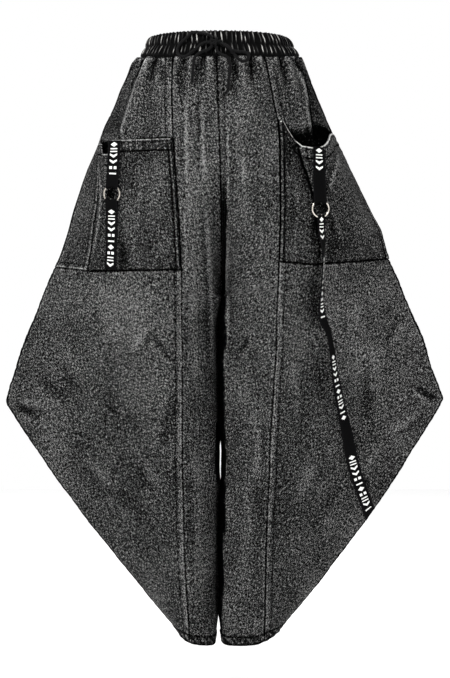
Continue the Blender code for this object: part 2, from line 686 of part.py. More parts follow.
POCKET_ROWS = {side: pocket_rows(side) for side in (RIGHT, LEFT)}
for side, side_name in SIDE_NAMES.items():
    outer, inner = POCKET_ROWS[side]
    wall(f"pocket_{side_name}", outer, inner, [None] * len(outer), WASHED_DENIM)

# ---------------------------------------------------------------- what the straps lie on
REACH = 0.05  # how far off the cloth a straight look at it starts


def cloth_tree(side_name):
    """The cloth under the straps of one side."""
    points, faces = [], []
    for name in ("front_side", "pocket", "front_wing"):
        mesh = bpy.data.objects[f"{name}_{side_name}"].data
        faces += [tuple(len(points) + number for number in face.vertices) for face in mesh.polygons]
        points += [vertex.co.copy() for vertex in mesh.vertices]
    return BVHTree.FromPolygons(points, faces)


CLOTH = {side: cloth_tree(side_name) for side, side_name in SIDE_NAMES.items()}


def unit(vectors):
    return vectors / np.linalg.norm(vectors, axis=-1, keepdims=True)


def surface_point(side, x, drop):
    """The front of the outermost cloth at x and a drop, or None past its edge. A look that goes through a seam
    is taken again just above it."""
    for above in (0, 2 * SEAM_GAP):
        found = CLOTH[side].ray_cast(Vector((x, -1.0, above - drop)), Vector((0, 1, 0)))[0]
        if found is not None:
            return found
    return None


def surface_normal(side, x, drop, step=0.008):
    ends = [
        surface_point(side, x + over, drop + down)
        for over, down in ((step, 0), (-step, 0), (0, step), (0, -step))
    ]
    if None in ends:
        return surface_normal(side, x, drop, step / 2)
    return unit(np.cross(ends[2] - ends[3], ends[0] - ends[1]))


def clearance(side, point, normal):
    """How far a point stands off the cloth, along a normal. Past the cloth's edge it is the whole reach."""
    distance = CLOTH[side].ray_cast(Vector(point + normal * REACH), Vector(-normal), 2 * REACH)[3]
    return REACH if distance is None else distance - REACH


def smooth_path(table, count):
    """count rows along a curve through the rows of a table."""
    rows = np.array(table, float)
    steps = np.linalg.norm(np.diff(rows[:, :2], axis=0), axis=1)
    along = np.concatenate([[0], np.cumsum(steps)])
    slopes = np.gradient(rows, along, axis=0)
    made = []
    for at in np.linspace(0, along[-1], count):
        i = int(np.clip(np.searchsorted(along, at) - 1, 0, len(rows) - 2))
        length = along[i + 1] - along[i]
        t = (at - along[i]) / length
        blend = (2 * t ** 3 - 3 * t ** 2 + 1, t ** 3 - 2 * t ** 2 + t, -2 * t ** 3 + 3 * t ** 2, t ** 3 - t ** 2)
        made.append(
            blend[0] * rows[i] + blend[1] * length * slopes[i]
            + blend[2] * rows[i + 1] + blend[3] * length * slopes[i + 1]
        )
    return np.array(made)


def evened(vectors, reach):
    """Directions along a path, each averaged with its neighbours."""
    padded = np.pad(vectors, ((reach, reach), (0, 0)), mode="edge")
    weights = np.hanning(2 * reach + 3)[1:-1]
    return unit(np.stack([np.convolve(padded[:, axis], weights, mode="valid") for axis in range(3)], axis=1))


# ---------------------------------------------------------------- straps and rings
STRAP_COLUMNS = np.linspace(-1, 1, 7)
LOOP_STEPS = 6
RAISE = 0.0003
MOST_RAISES = 40
LOOKS = 4  # looks at the cloth between two rows of a strap
RING_FACING = 0.5  # how much a ring turns from the cloth's direction to the front
TAIL = 0.0065  # how far a strap's end runs back behind its ring
FREE_RUN = 0.018  # from the ring to where the strap lies on the cloth


def thickened(middle, half):
    """The two faces of a strap, half its thickness to each side of its middle."""
    normals = unit(np.cross(np.gradient(middle, axis=0), np.gradient(middle, axis=1)))
    return middle + normals * half, middle - normals * half


def rows_in_cloth(side, middle):
    """The rows of a strap that touch the cloth, or nearly so."""
    points, faces, row_of = [], [], []
    for sheet in thickened(middle, WEBBING / 2 + REST_GAP / 2):
        numbers = len(points) + np.arange(sheet.shape[0] * sheet.shape[1]).reshape(sheet.shape[:2])
        points += [Vector(point) for point in sheet.reshape(-1, 3)]
        for i in range(len(numbers) - 1):
            made = strip_faces(numbers[i].tolist(), numbers[i + 1].tolist())
            faces += made
            row_of += [i] * len(made)
    touching = {row_of[a] for a, _ in BVHTree.FromPolygons(points, faces).overlap(CLOTH[side])}
    return {j for i in touching for j in (i, i + 1)}


def strap_on_cloth(side, table, count, skew=0.0):
    """Rows of points across a strap that lies on the cloth. table: x, drop, twist in degrees, half width.
    skew: how far the end is cut back per metre across."""
    rows = smooth_path(table, (count - 1) * LOOKS + 1)
    feet = np.array([surface_point(side, x, drop) for x, drop in rows[:, :2]])
    normals = np.array([surface_normal(side, x, drop) for x, drop in rows[:, :2]])
    normals = evened(normals, 3 * LOOKS)
    along = evened(unit(np.gradient(feet, axis=0)), 3 * LOOKS)
    normals = unit(normals - along * (normals * along).sum(axis=1, keepdims=True))
    flat = np.cross(along, normals)
    twist = np.radians(rows[:, 2:3])
    across = flat * np.cos(twist) + normals * np.sin(twist)
    offsets = rows[:, 3:4] * STRAP_COLUMNS
    cut = skew * np.clip((np.arange(len(rows)) - len(rows) + 1 + LOOKS) / LOOKS, 0, 1)
    middle = feet[:, None] + across[:, None] * offsets[..., None]
    middle -= along[:, None] * (cut[:, None] * offsets)[..., None]
    needed = [
        REST_GAP + WEBBING / 2 - min(clearance(side, point, normal) for point in row)
        for row, normal in zip(middle, normals, strict=True)
    ]
    lift = [max(needed[max(i - LOOKS, 0):i + LOOKS + 1]) for i in range(0, len(rows), LOOKS)]
    lift = np.convolve(np.pad(lift, 1, mode="edge"), np.ones(3) / 3, mode="valid")
    laid = middle[::LOOKS] + (normals[::LOOKS] * lift[:, None])[:, None]
    for _ in range(MOST_RAISES):
        crossing = rows_in_cloth(side, laid)
        if not crossing:
            break
        for i in crossing:
            laid[i] += normals[::LOOKS][i] * RAISE
    return laid


def ring_frame(side, x, drop, up_x, up_drop):
    """Centre, up, across and normal of a ring that hangs in front of the cloth."""
    foot = np.array(surface_point(side, x, drop))
    normal = unit(surface_normal(side, x, drop) + [0, -RING_FACING, 0])
    up = np.array(surface_point(side, up_x, up_drop)) - foot
    up = unit(up - normal * np.dot(up, normal))
    across = np.cross(normal, up)
    offsets = [(0, 0)]
    offsets += [(math.cos(turn) * RING_OUTER, math.sin(turn) * RING_OUTER) for turn in np.linspace(0, 6.3, 13)]
    offsets += [(a * STRAP_WIDTH / 2, b * (RING_RADIUS + TAIL)) for a in (-1, 0, 1) for b in (-1, 1)]
    gaps = [clearance(side, foot + across * over + up * rise, normal) for over, rise in offsets]
    centre = foot + normal * (LOOP_RADIUS + WEBBING / 2 + REST_GAP - min(gaps))
    return {"centre": centre, "up": up, "across": across, "normal": normal}


def loop_rows(frame, half_width, upward):
    """A strap's rows round the wire of its ring, from the front to the back, and then its tail."""
    sign = 1 if upward else -1
    offsets = half_width * STRAP_COLUMNS
    heights = sign * np.sqrt(RING_RADIUS ** 2 - offsets ** 2)
    spokes = (frame["across"] * offsets[:, None] + frame["up"] * heights[:, None]) / RING_RADIUS
    rows = []
    for turn in np.linspace(0, math.pi, LOOP_STEPS + 1):
        reach = RING_RADIUS - LOOP_RADIUS * math.sin(turn)
        rows.append(frame["centre"] + spokes * reach + frame["normal"] * LOOP_RADIUS * math.cos(turn))
    flat = frame["centre"] + frame["across"] * offsets[:, None] - frame["normal"] * LOOP_RADIUS
    rows.append(flat + frame["up"] * sign * (RING_RADIUS + TAIL))
    return np.array(rows)


def ribbon(name, middle, finish):
    front, back = thickened(middle, WEBBING / 2)
    return wall(name, list(front), list(back), [None] * len(middle), finish)


def add_ring(name, frame):
    """A torus whose origin and Z axis are the ring's own, so that it turns round that axis."""
    points, faces = [], []
    round_count, wire_count = 24, 8
    for i in range(round_count):
        turn = 2 * math.pi * i / round_count
        for j in range(wire_count):
            angle = 2 * math.pi * j / wire_count
            reach = RING_RADIUS + WIRE_RADIUS * math.cos(angle)
            spoke = frame["across"] * math.cos(turn) + frame["up"] * math.sin(turn)
            points.append(spoke * reach + frame["normal"] * WIRE_RADIUS * math.sin(angle))
            corners = ((i, j), (i + 1, j), (i + 1, j + 1), (i, j + 1))
            faces.append(tuple((a % round_count) * wire_count + b % wire_count for a, b in corners))
    made = add_mesh(name, points, faces, NICKEL)
    made.location = tuple(map(float, frame["centre"]))
    return made


RIGHT_RING = ring_frame(RIGHT, -0.1630, 0.2334, -0.1622, 0.2050)
LEFT_RING = ring_frame(LEFT, 0.1574, 0.2573, 0.1560, 0.2290)
FLAT = STRAP_WIDTH / 2
RING_TURN = 8  # degrees that a strap turns to the front on its way to a ring
BUNCHED = 0.0055  # half width of the long strap where it is bunched in the ring
# x, drop, twist in degrees, half width
UPPER_RIGHT = ((-0.1600, 0.1515, 0, FLAT), (-0.1622, 0.2334 - RING_RADIUS - FREE_RUN, RING_TURN, FLAT))
LOWER_RIGHT = ((-0.1640, 0.2334 + RING_RADIUS + FREE_RUN, RING_TURN, FLAT), (-0.1648, 0.2900, 0, FLAT), (-0.1670, 0.3500, 0, FLAT))
UPPER_LEFT = ((0.1550, 0.1620, 0, FLAT), (0.1562, 0.2573 - RING_RADIUS - FREE_RUN, -RING_TURN, FLAT))
LONG_LEFT = (
    (0.1578, 0.2870, 20, 0.0070),
    (0.1588, 0.3078, 48, FLAT),
    (0.1588, 0.3525, 58, FLAT),
    (0.1590, 0.3986, 58, FLAT),
    (0.1621, 0.4294, 40, FLAT),
    (0.1690, 0.4449, 50, FLAT),
    (0.1765, 0.4837, 48, FLAT),
    (0.1804, 0.5101, 42, FLAT),
    (0.1888, 0.5540, 26, FLAT),
    (0.2032, 0.6117, 5, FLAT),
    (0.2090, 0.6394, 0, FLAT),
    (0.2176, 0.6719, 0, FLAT),
    (0.2296, 0.7047, 0, FLAT),
    (0.2420, 0.7380, 0, FLAT),
)
END_SKEW = -0.7

ribbon(
    "strap_upper_right",
    np.concatenate([strap_on_cloth(RIGHT, UPPER_RIGHT, 5), loop_rows(RIGHT_RING, FLAT, True)]),
    BLACK_WEBBING,
)
ribbon(
    "strap_lower_right",
    np.concatenate([loop_rows(RIGHT_RING, FLAT, False)[::-1], strap_on_cloth(RIGHT, LOWER_RIGHT, 7)]),
    BLACK_WEBBING,
)
ribbon(
    "strap_upper_left",
    np.concatenate([strap_on_cloth(LEFT, UPPER_LEFT, 5), loop_rows(LEFT_RING, FLAT, True)]),
    BLACK_WEBBING,
)
ribbon(
    "strap_long_left",
    np.concatenate([loop_rows(LEFT_RING, BUNCHED, False)[::-1], strap_on_cloth(LEFT, LONG_LEFT, 32, END_SKEW)]),
    BLACK_WEBBING,
)
add_ring("ring_right", RIGHT_RING)
add_ring("ring_left", LEFT_RING)

# ---------------------------------------------------------------- drawstring
CORD_STEP = 0.006
KNOT_CENTRE = (-0.0031, -0.0006)  # x, drop
KNOT_OUT = 0.0066  # from the waist's form to the knot's middle
KNOT_RADII = (0.0085, 0.0060, 0.0072)
KNOT_GAP = 0.0006
# x, drop, and how far the middle of the cord stands off the waist's form
DRAWSTRING = {
    "drawstring_loop_left": (
        (-0.0110, -0.0100, 0.0074), (-0.0260, -0.0150, 0.0070),
        (-0.0408, -0.0157, 0.0068), (-0.0496, -0.0072, 0.0068), (-0.0595, 0.0020, 0.0068),
        (-0.0631, 0.0126, 0.0070), (-0.0595, 0.0206, 0.0078), (-0.0496, 0.0216, 0.0080),
        (-0.0408, 0.0154, 0.0076), (-0.0319, 0.0080, 0.0070), (-0.0200, 0.0000, 0.0070),
    ),
    "drawstring_end_left": (
        (-0.0140, 0.0105, 0.0070), (-0.0280, 0.0165, 0.0078),
        (-0.0356, 0.0235, 0.0082), (-0.0381, 0.0392, 0.0082), (-0.0400, 0.0640, 0.0070),
    ),
    "drawstring_loop_right": (
        (0.0120, 0.0050, 0.0122), (0.0213, 0.0130, 0.0120),
        (0.0300, 0.0150, 0.0090), (0.0391, 0.0152, 0.0076), (0.0470, 0.0191, 0.0078),
        (0.0470, 0.0250, 0.0080), (0.0418, 0.0299, 0.0080), (0.0351, 0.0290, 0.0080),
        (0.0292, 0.0237, 0.0078), (0.0215, 0.0150, 0.0068), (0.0140, 0.0075, 0.0066),
    ),
    "drawstring_end_right": (
        (-0.0012, 0.0140, 0.0070), (0.0050, 0.0195, 0.0082), (0.0120, 0.0222, 0.0084),
        (0.0174, 0.0290, 0.0082), (0.0189, 0.0417, 0.0080), (0.0164, 0.0615, 0.0072),
        (0.0144, 0.0773, 0.0065), (0.0105, 0.0810, 0.0065),
    ),
}


def waist_point(x, drop, out):
    """A point in front of the waist's form, at x and a drop."""
    level = int(round((drop - LEVELS[0]) / LEVEL_STEP))
    right = FORM[RIGHT]["points"][level, HALF_SAMPLES - 20:0:-1]
    line = np.concatenate([right, FORM[LEFT]["points"][level, 1:HALF_SAMPLES - 20]])
    slope = np.interp(x + 0.004, line[:, 0], line[:, 1]) - np.interp(x - 0.004, line[:, 0], line[:, 1])
    return np.array([x, np.interp(x, line[:, 0], line[:, 1]) - out * math.hypot(1, slope / 0.008), -drop])


def at_the_knot(point):
    """The middle of a cord's end that starts at the knot, on the way to a point."""
    centre = waist_point(*KNOT_CENTRE, KNOT_OUT)
    away = unit(point - centre)
    return centre + away * (1 / np.linalg.norm(away / KNOT_RADII) + KNOT_GAP)


def add_cord(name, table, finish):
    points = np.array([waist_point(*row) for row in table])
    ends = [at_the_knot(points[0])[None], points]
    if "loop" in name:
        ends.append(at_the_knot(points[-1])[None])
    points = np.concatenate(ends)
    length = np.linalg.norm(np.diff(points, axis=0), axis=1).sum()
    path = smooth_path(np.stack([points[:, 0], points[:, 2], points[:, 1]], axis=1), int(length / CORD_STEP) + 1)
    curve = bpy.data.curves.new(name, "CURVE")
    curve.dimensions = "3D"
    curve.bevel_depth = CORD_RADIUS
    curve.bevel_resolution = 2
    curve.use_fill_caps = True
    spline = curve.splines.new("POLY")
    spline.points.add(len(path) - 1)
    for point, (x, z, y) in zip(spline.points, path, strict=True):
        point.co = (x, y, z, 1)
    spline.use_smooth = True
    curve.materials.append(finish)
    made = bpy.data.objects.new(name, curve)
    bpy.context.scene.collection.objects.link(made)
    return made


def add_knot():
    centre = waist_point(*KNOT_CENTRE, KNOT_OUT)
    build = bmesh.new()
    bmesh.ops.create_uvsphere(build, u_segments=12, v_segments=8, radius=1.0)
    points = [np.array(v.co) * KNOT_RADII + centre for v in build.verts]
    build.verts.index_update()
    faces = [tuple(v.index for v in face.verts) for face in build.faces]
    build.free()
    add_mesh("drawstring_knot", points, faces, BLACK_CORD)


add_knot()
for name, table in DRAWSTRING.items():
    add_cord(name, table, BLACK_CORD)
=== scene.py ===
"""The looks of the wide batwing jeans.

Thin cloth shells lie on the part's own form, with creases, stitching, worn denim, webbing straps, rings and a
tied drawstring.

Metres, +Z up. The origin is the middle of the waistband, the front faces -Y, and +X is the wearer's left.
Heights are given as a drop below the origin, so drop = -z. Tables that say so are in millimetres.
A tone is 0 on plain cloth, above it where the cloth is worn paler and where a highlight is painted, and below
it where shade is painted, in grooves and elsewhere.
"""

import json
import math

import bpy
import numpy as np
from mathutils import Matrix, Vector
from mathutils.bvhtree import BVHTree


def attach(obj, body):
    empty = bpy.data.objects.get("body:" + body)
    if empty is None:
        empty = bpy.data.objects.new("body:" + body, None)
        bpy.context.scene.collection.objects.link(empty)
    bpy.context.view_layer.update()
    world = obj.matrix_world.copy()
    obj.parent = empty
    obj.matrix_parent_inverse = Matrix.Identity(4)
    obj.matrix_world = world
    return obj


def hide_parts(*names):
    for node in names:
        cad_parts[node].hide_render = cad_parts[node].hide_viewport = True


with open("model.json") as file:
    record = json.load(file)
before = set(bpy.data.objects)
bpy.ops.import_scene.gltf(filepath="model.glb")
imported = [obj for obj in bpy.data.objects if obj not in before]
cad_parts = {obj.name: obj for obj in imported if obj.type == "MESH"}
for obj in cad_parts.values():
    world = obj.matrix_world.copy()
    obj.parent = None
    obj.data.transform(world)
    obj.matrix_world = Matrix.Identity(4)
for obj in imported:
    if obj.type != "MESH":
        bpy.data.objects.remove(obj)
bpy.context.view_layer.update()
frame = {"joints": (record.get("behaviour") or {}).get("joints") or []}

# ---------------------------------------------------------------- driving sizes, as in the part
DENIM = 0.0018  # thickness of the denim wall
BAND = 0.0024  # thickness of the elastic waistband's wall
WEBBING = 0.0012
SEAM_GAP = 0.0003
BAND_GAP = 0.0006  # from the waistband down to the denim
POCKET_GAP = 0.0006  # from a panel out to the pocket on it
REST_GAP = 0.0004  # from the cloth out to a strap that lies on it
BAND_TOP = -0.020  # drop of the waistband's upper edge
STRAP_WIDTH = 0.020
RING_RADIUS = 0.0131  # to the middle of the wire
WIRE_RADIUS = 0.0014
LOOP_RADIUS = 0.0026  # from the middle of the wire to the middle of the webbing round it
CORD_RADIUS = 0.0024
HEM_HEIGHT = 0.014  # of the turned hem that shows, less than the part's
MM = 0.001
TO_MM = 1000

RIGHT = -1  # the wearer's right leg, at -X
LEFT = 1
SIDE_NAMES = {RIGHT: "right", LEFT: "left"}

# ---------------------------------------------------------------- camera
camera = bpy.data.objects.new("camera", bpy.data.cameras.new("camera"))
camera.data.sensor_width = 36.0
camera.data.lens = 99.5
camera.data.clip_end = 50.0
camera.location = (0.0108, -3.0, -0.4588)  # level with the garment's middle, 3 m in front of it
camera.rotation_euler = (math.pi / 2, 0, 0)
bpy.context.scene.collection.objects.link(camera)
bpy.context.scene.camera = camera

# ---------------------------------------------------------------- the outline seen from the front
# drop, distance of the outer edge from x = 0
OUTLINE = {
    RIGHT: (
        (-0.032, 0.110),
        (-0.021, 0.1111),
        (-0.0116, 0.1132),
        (0.006, 0.1212),
        (0.022, 0.1348),
        (0.065, 0.1572),
        (0.124, 0.1822),
        (0.1516, 0.1930),
        (0.188, 0.2097),
        (0.256, 0.2318),
        (0.344, 0.2614),
        (0.391, 0.2820),
        (0.476, 0.3153),
        (0.533, 0.3345),
        (0.560, 0.3398),
        (0.620, 0.3023),
        (0.736, 0.2212),
        (0.833, 0.1422),
        (0.903, 0.0852),
        (0.928, 0.0632),
        (0.952, 0.0600),
    ),
    LEFT: (
        (-0.032, 0.110),
        (-0.021, 0.1111),
        (-0.0073, 0.1196),
        (0.006, 0.1270),
        (0.031, 0.1414),
        (0.072, 0.1570),
        (0.124, 0.1799),
        (0.142, 0.1880),
        (0.195, 0.2156),
        (0.248, 0.2412),
        (0.284, 0.2596),
        (0.331, 0.2740),
        (0.395, 0.3009),
        (0.460, 0.3287),
        (0.518, 0.3481),
        (0.554, 0.3618),
        (0.620, 0.3215),
        (0.732, 0.2508),
        (0.849, 0.1604),
        (0.905, 0.1148),
        (0.926, 0.0965),
        (0.952, 0.0930),
    ),
}

# ---------------------------------------------------------------- the section at each drop
# centre: depth of the cloth at the centre seam.
# inner: where the fold beside it turns, as x from the seam and depth.
# crown: the front of the leg. shoulder: where the front turns to the side. Their x is a share of the edge's.
# edge: half the thickness at the outer edge. back: depth of the back as a share of the front.
SECTION_COLUMNS = (
    "drop", "centre", "inner_x", "inner", "crown_x", "crown", "shoulder_x", "shoulder", "edge", "back",
)
SECTION = (
    (-0.032, 0.0910, 0.020, 0.0910, 0.405, 0.0885, 0.790, 0.0640, 0.026, 1.00),
    (0.000, 0.0955, 0.020, 0.0955, 0.400, 0.0930, 0.770, 0.0680, 0.028, 1.00),
    (0.020, 0.0995, 0.022, 0.0995, 0.390, 0.0980, 0.780, 0.0700, 0.030, 1.00),
    (0.050, 0.1050, 0.025, 0.1050, 0.373, 0.1050, 0.840, 0.0700, 0.032, 1.02),
    (0.085, 0.1090, 0.028, 0.1090, 0.360, 0.1110, 0.845, 0.0730, 0.030, 1.05),
    (0.120, 0.1120, 0.030, 0.1130, 0.360, 0.1160, 0.825, 0.0760, 0.027, 1.08),
    (0.150, 0.1130, 0.030, 0.1150, 0.354, 0.1190, 0.820, 0.0780, 0.023, 1.10),
    (0.200, 0.1080, 0.026, 0.1170, 0.350, 0.1230, 0.840, 0.0760, 0.016, 1.10),
    (0.250, 0.0940, 0.022, 0.1150, 0.325, 0.1260, 0.820, 0.0720, 0.012, 1.07),
    (0.300, 0.0700, 0.018, 0.1080, 0.305, 0.1270, 0.780, 0.0680, 0.009, 1.03),
    (0.340, 0.0480, 0.015, 0.1000, 0.296, 0.1250, 0.740, 0.0640, 0.007, 1.00),
    (0.370, 0.0260, 0.013, 0.0900, 0.286, 0.1220, 0.655, 0.0620, 0.006, 1.00),
    (0.384, 0.0130, 0.012, 0.0840, 0.283, 0.1210, 0.650, 0.0610, 0.006, 1.00),
    (0.390, 0.0000, 0.010, 0.0800, 0.281, 0.1200, 0.645, 0.0600, 0.006, 1.00),
    (0.450, 0.0000, 0.010, 0.0700, 0.256, 0.1130, 0.610, 0.0560, 0.0055, 1.00),
    (0.560, 0.0000, 0.010, 0.0600, 0.206, 0.1010, 0.543, 0.0510, 0.005, 1.00),
    (0.650, 0.0000, 0.010, 0.0550, 0.228, 0.0910, 0.580, 0.0480, 0.005, 1.00),
    (0.750, 0.0000, 0.009, 0.0500, 0.258, 0.0810, 0.600, 0.0450, 0.0055, 1.00),
    (0.830, 0.0000, 0.008, 0.0460, 0.320, 0.0730, 0.680, 0.0430, 0.007, 1.00),
    (0.900, 0.0000, 0.007, 0.0420, 0.420, 0.0660, 0.780, 0.0420, 0.012, 1.00),
    (0.952, 0.0000, 0.006, 0.0400, 0.500, 0.0620, 0.820, 0.0420, 0.018, 1.00),
)
CROTCH = 0.390

# centre: x of the centre seam, and of the middle between the legs. gap: between the legs.
# lean: how far that gap turns out of the fore-and-aft plane, x per metre of y.
CENTRE_COLUMNS = ("drop", "centre", "gap", "lean")
CENTRE = (
    (-0.032, -0.0045, 0.0003, 0.00),
    (0.060, -0.0010, 0.0003, 0.00),
    (0.180, 0.0030, 0.0003, 0.00),
    (0.340, 0.0060, 0.0003, 0.00),
    (0.384, 0.0056, 0.0003, 0.00),
    (0.390, 0.0056, 0.0013, 0.00),
    (0.430, 0.0048, 0.0016, 0.12),
    (0.600, 0.0040, 0.0020, 0.12),
    (0.635, 0.0038, 0.0026, 0.00),
    (0.672, 0.0035, 0.0026, 0.00),
    (0.710, 0.0030, 0.0020, 0.12),
    (0.890, 0.0010, 0.0020, 0.12),
    (0.920, 0.0006, 0.0060, 0.00),
    (0.952, 0.0004, 0.0080, 0.00),
)

# ---------------------------------------------------------------- seams
# drop, distance from x = 0 of the long seam between the centre and the side panels
LONG_SEAM = {
    RIGHT: ((-0.032, 0.073), (0.020, 0.0722), (0.135, 0.0700), (0.213, 0.0638), (0.275, 0.0594),
            (0.352, 0.0559), (0.645, 0.0553), (0.804, 0.0524), (0.925, 0.0447), (0.952, 0.044)),
    LEFT: ((-0.032, 0.071), (0.020, 0.0735), (0.072, 0.0838), (0.122, 0.0925), (0.211, 0.0962),
           (0.318, 0.0945), (0.353, 0.0930), (0.488, 0.0893), (0.597, 0.0819), (0.804, 0.0745),
           (0.952, 0.0732)),
}
# drop, how far the side seam lies on the front, in from the outer edge
SIDE_SEAM = {
    RIGHT: ((0.0, 0.0), (0.100, 0.0), (0.130, 0.004), (0.155, 0.009), (0.190, 0.024), (0.250, 0.041),
            (0.350, 0.058)),
    LEFT: ((0.0, 0.0), (0.140, 0.004), (0.350, 0.006)),
}
# u, drop: the top edge of the denim, the seam across the thigh, and the hem
TOP_EDGE = ((0.0, 0.0205), (0.45, 0.0190), (1.0, 0.0080), (1.55, 0.0190), (2.0, 0.0205))
THIGH_SEAM = {
    RIGHT: ((0.0, 0.346), (0.25, 0.353), (0.75, 0.353), (0.90, 0.347), (1.0, 0.3442), (1.10, 0.347),
            (1.25, 0.353), (1.75, 0.353), (2.0, 0.346)),
    LEFT: ((0.0, 0.346), (0.32, 0.339), (0.55, 0.3440), (0.75, 0.3377), (1.0, 0.3306), (1.25, 0.3377),
           (1.45, 0.3440), (1.68, 0.339), (2.0, 0.346)),
}
HEM = {
    RIGHT: ((0.0, 0.9380), (0.30, 0.9425), (0.62, 0.9390), (1.0, 0.9276), (1.38, 0.9390), (1.70, 0.9425),
            (2.0, 0.9380)),
    LEFT: ((0.0, 0.9370), (0.30, 0.9425), (0.62, 0.9400), (1.0, 0.9254), (1.38, 0.9400), (1.70, 0.9425),
           (2.0, 0.9370)),
}

# ---------------------------------------------------------------- gathers and folds
# The denim's gathers below the waistband: waves in each panel, and the drop where they have faded.
GATHERS = {"centre": 3, "side": 4}
GATHER_DEPTH = 0.0034
GATHER_END = 0.135
# Each fold follows a straight line on one face. x is a distance from the middle, outwards.
FOLD_COLUMNS = ("side", "face", "top_x", "top_drop", "low_x", "low_drop", "half_width", "height")
FOLDS = (
    (RIGHT, "front", 0.115, 0.015, 0.152, 0.150, 0.008, 0.0045),
    (RIGHT, "front", 0.126, 0.020, 0.168, 0.145, 0.007, -0.0045),
    (LEFT, "front", 0.119, 0.010, 0.147, 0.140, 0.008, 0.0045),
    (LEFT, "front", 0.130, 0.015, 0.160, 0.140, 0.007, -0.0050),
    (LEFT, "front", 0.112, 0.150, 0.150, 0.300, 0.010, -0.0040),
    (LEFT, "front", 0.135, 0.370, 0.150, 0.520, 0.018, -0.0050),
    (LEFT, "front", 0.205, 0.530, 0.215, 0.640, 0.018, -0.0060),
    (LEFT, "front", 0.180, 0.400, 0.330, 0.560, 0.024, 0.0050),
    (RIGHT, "front", 0.120, 0.365, 0.105, 0.560, 0.022, 0.0050),
    (RIGHT, "front", 0.160, 0.640, 0.230, 0.500, 0.026, -0.0050),
    (RIGHT, "front", 0.190, 0.380, 0.290, 0.560, 0.026, 0.0050),
    (RIGHT, "front", 0.120, 0.720, 0.180, 0.620, 0.020, 0.0045),
    (LEFT, "front", 0.120, 0.640, 0.150, 0.800, 0.020, 0.0045),
    (RIGHT, "back", 0.115, 0.015, 0.150, 0.150, 0.009, 0.0045),
    (LEFT, "back", 0.117, 0.010, 0.148, 0.150, 0.009, 0.0045),
    (RIGHT, "back", 0.060, 0.240, 0.150, 0.300, 0.018, -0.0055),
    (LEFT, "back", 0.055, 0.260, 0.160, 0.290, 0.018, -0.0050),
    (RIGHT, "back", 0.130, 0.380, 0.300, 0.550, 0.026, 0.0055),
    (LEFT, "back", 0.150, 0.400, 0.310, 0.540, 0.024, 0.0055),
    (RIGHT, "back", 0.110, 0.560, 0.190, 0.680, 0.022, -0.0050),
    (LEFT, "back", 0.120, 0.600, 0.180, 0.740, 0.022, -0.0050),
)

# ---------------------------------------------------------------- small helpers
def unit(vectors):
    """The same directions, one long."""
    return vectors / np.linalg.norm(vectors, axis=-1, keepdims=True)


def distances(points):
    """How far each point of a polyline lies along it."""
    return np.concatenate([[0], np.cumsum(np.linalg.norm(np.diff(points, axis=0), axis=1))])


def read(rows, at, column=1):
    """A column of a table of rows, read at the values of its first column."""
    table = np.array(rows, float)
    return np.interp(at, table[:, 0], table[:, column])


def read_at(at, along, points):
    """A point of a polyline, at a distance along it."""
    return np.array([np.interp(at, along, points[:, axis]) for axis in range(points.shape[1])])


def swell(values, low, high):
    """A smooth step from 0 at low to 1 at high."""
    share = np.clip((values - low) / (high - low), 0, 1)
    return share * share * (3 - 2 * share)


def line_at(values, middle, width):
    """1 on a line where the values pass its middle, fading over the width to each side."""
    return np.exp(-(((values - middle) / width) ** 2))


def bell(across, half_width):
    """The cross-section of a ridge, 1 on its crest."""
    return np.exp(-0.5 * (across / half_width) ** 2)


def spot(across, down, reach_across, reach_down):
    """1 in the middle of a soft round place."""
    return np.exp(-((across / reach_across) ** 2) - (down / reach_down) ** 2)


def from_line(x, drop, first, last):
    """How far along a straight line places are, as a share of it, and how far across from it."""
    px, pz = x - first[0], drop - first[1]
    dx, dz = last[0] - first[0], last[1] - first[1]
    length = math.hypot(dx, dz)
    return (px * dx + pz * dz) / length ** 2, (px * dz - pz * dx) / length


def wander(along, seed, length):
    """An irregular wave along a line, between about -1 and 1."""
    rng = np.random.default_rng(seed)
    total = np.zeros_like(along)
    for share in (1.0, 0.63, 1.7):
        total += np.sin(2 * np.pi * along / (length * share) + rng.uniform(0, 6.28))
    return total / 2.2


def soft_waves(points, seed, length, count=7):
    """Irregular waves through space, between about -1 and 1."""
    rng = np.random.default_rng(seed)
    total = np.zeros(points.shape[:-1])
    for _ in range(count):
        direction = unit(rng.normal(size=3))
        wave = 2 * np.pi / (length * rng.uniform(0.7, 1.5))
        total += np.sin(points @ direction * wave + rng.uniform(0, 6.28))
    return total / math.sqrt(count)


def curve_shares(t):
    """The shares of two points and of the slopes at them, on a smooth curve from one to the other."""
    return 2 * t ** 3 - 3 * t ** 2 + 1, t ** 3 - 2 * t ** 2 + t, 3 * t ** 2 - 2 * t ** 3, t ** 3 - t ** 2


def smooth_path(table, count):
    """count rows along a curve through the rows of a table."""
    rows = np.array(table, float)
    along = distances(rows[:, :2])
    slopes = np.gradient(rows, along, axis=0)
    made = []
    for at in np.linspace(0, along[-1], count):
        i = int(np.clip(np.searchsorted(along, at) - 1, 0, len(rows) - 2))
        length = along[i + 1] - along[i]
        here, slope_here, next_one, slope_next = curve_shares((at - along[i]) / length)
        made.append(
            here * rows[i] + slope_here * length * slopes[i]
            + next_one * rows[i + 1] + slope_next * length * slopes[i + 1]
        )
    return np.array(made)


# ---------------------------------------------------------------- reading the form
HALF_SAMPLES = 130
LEVEL_STEP = 0.004
LEVELS = np.arange(-0.032, 0.952 + LEVEL_STEP, LEVEL_STEP)
LEVELS_NEAR = 12  # levels to each side that softening looks at
BODY_ROUNDING = 0.015
OVERHANG = 40  # points past both ends of a half section that its rounding looks at


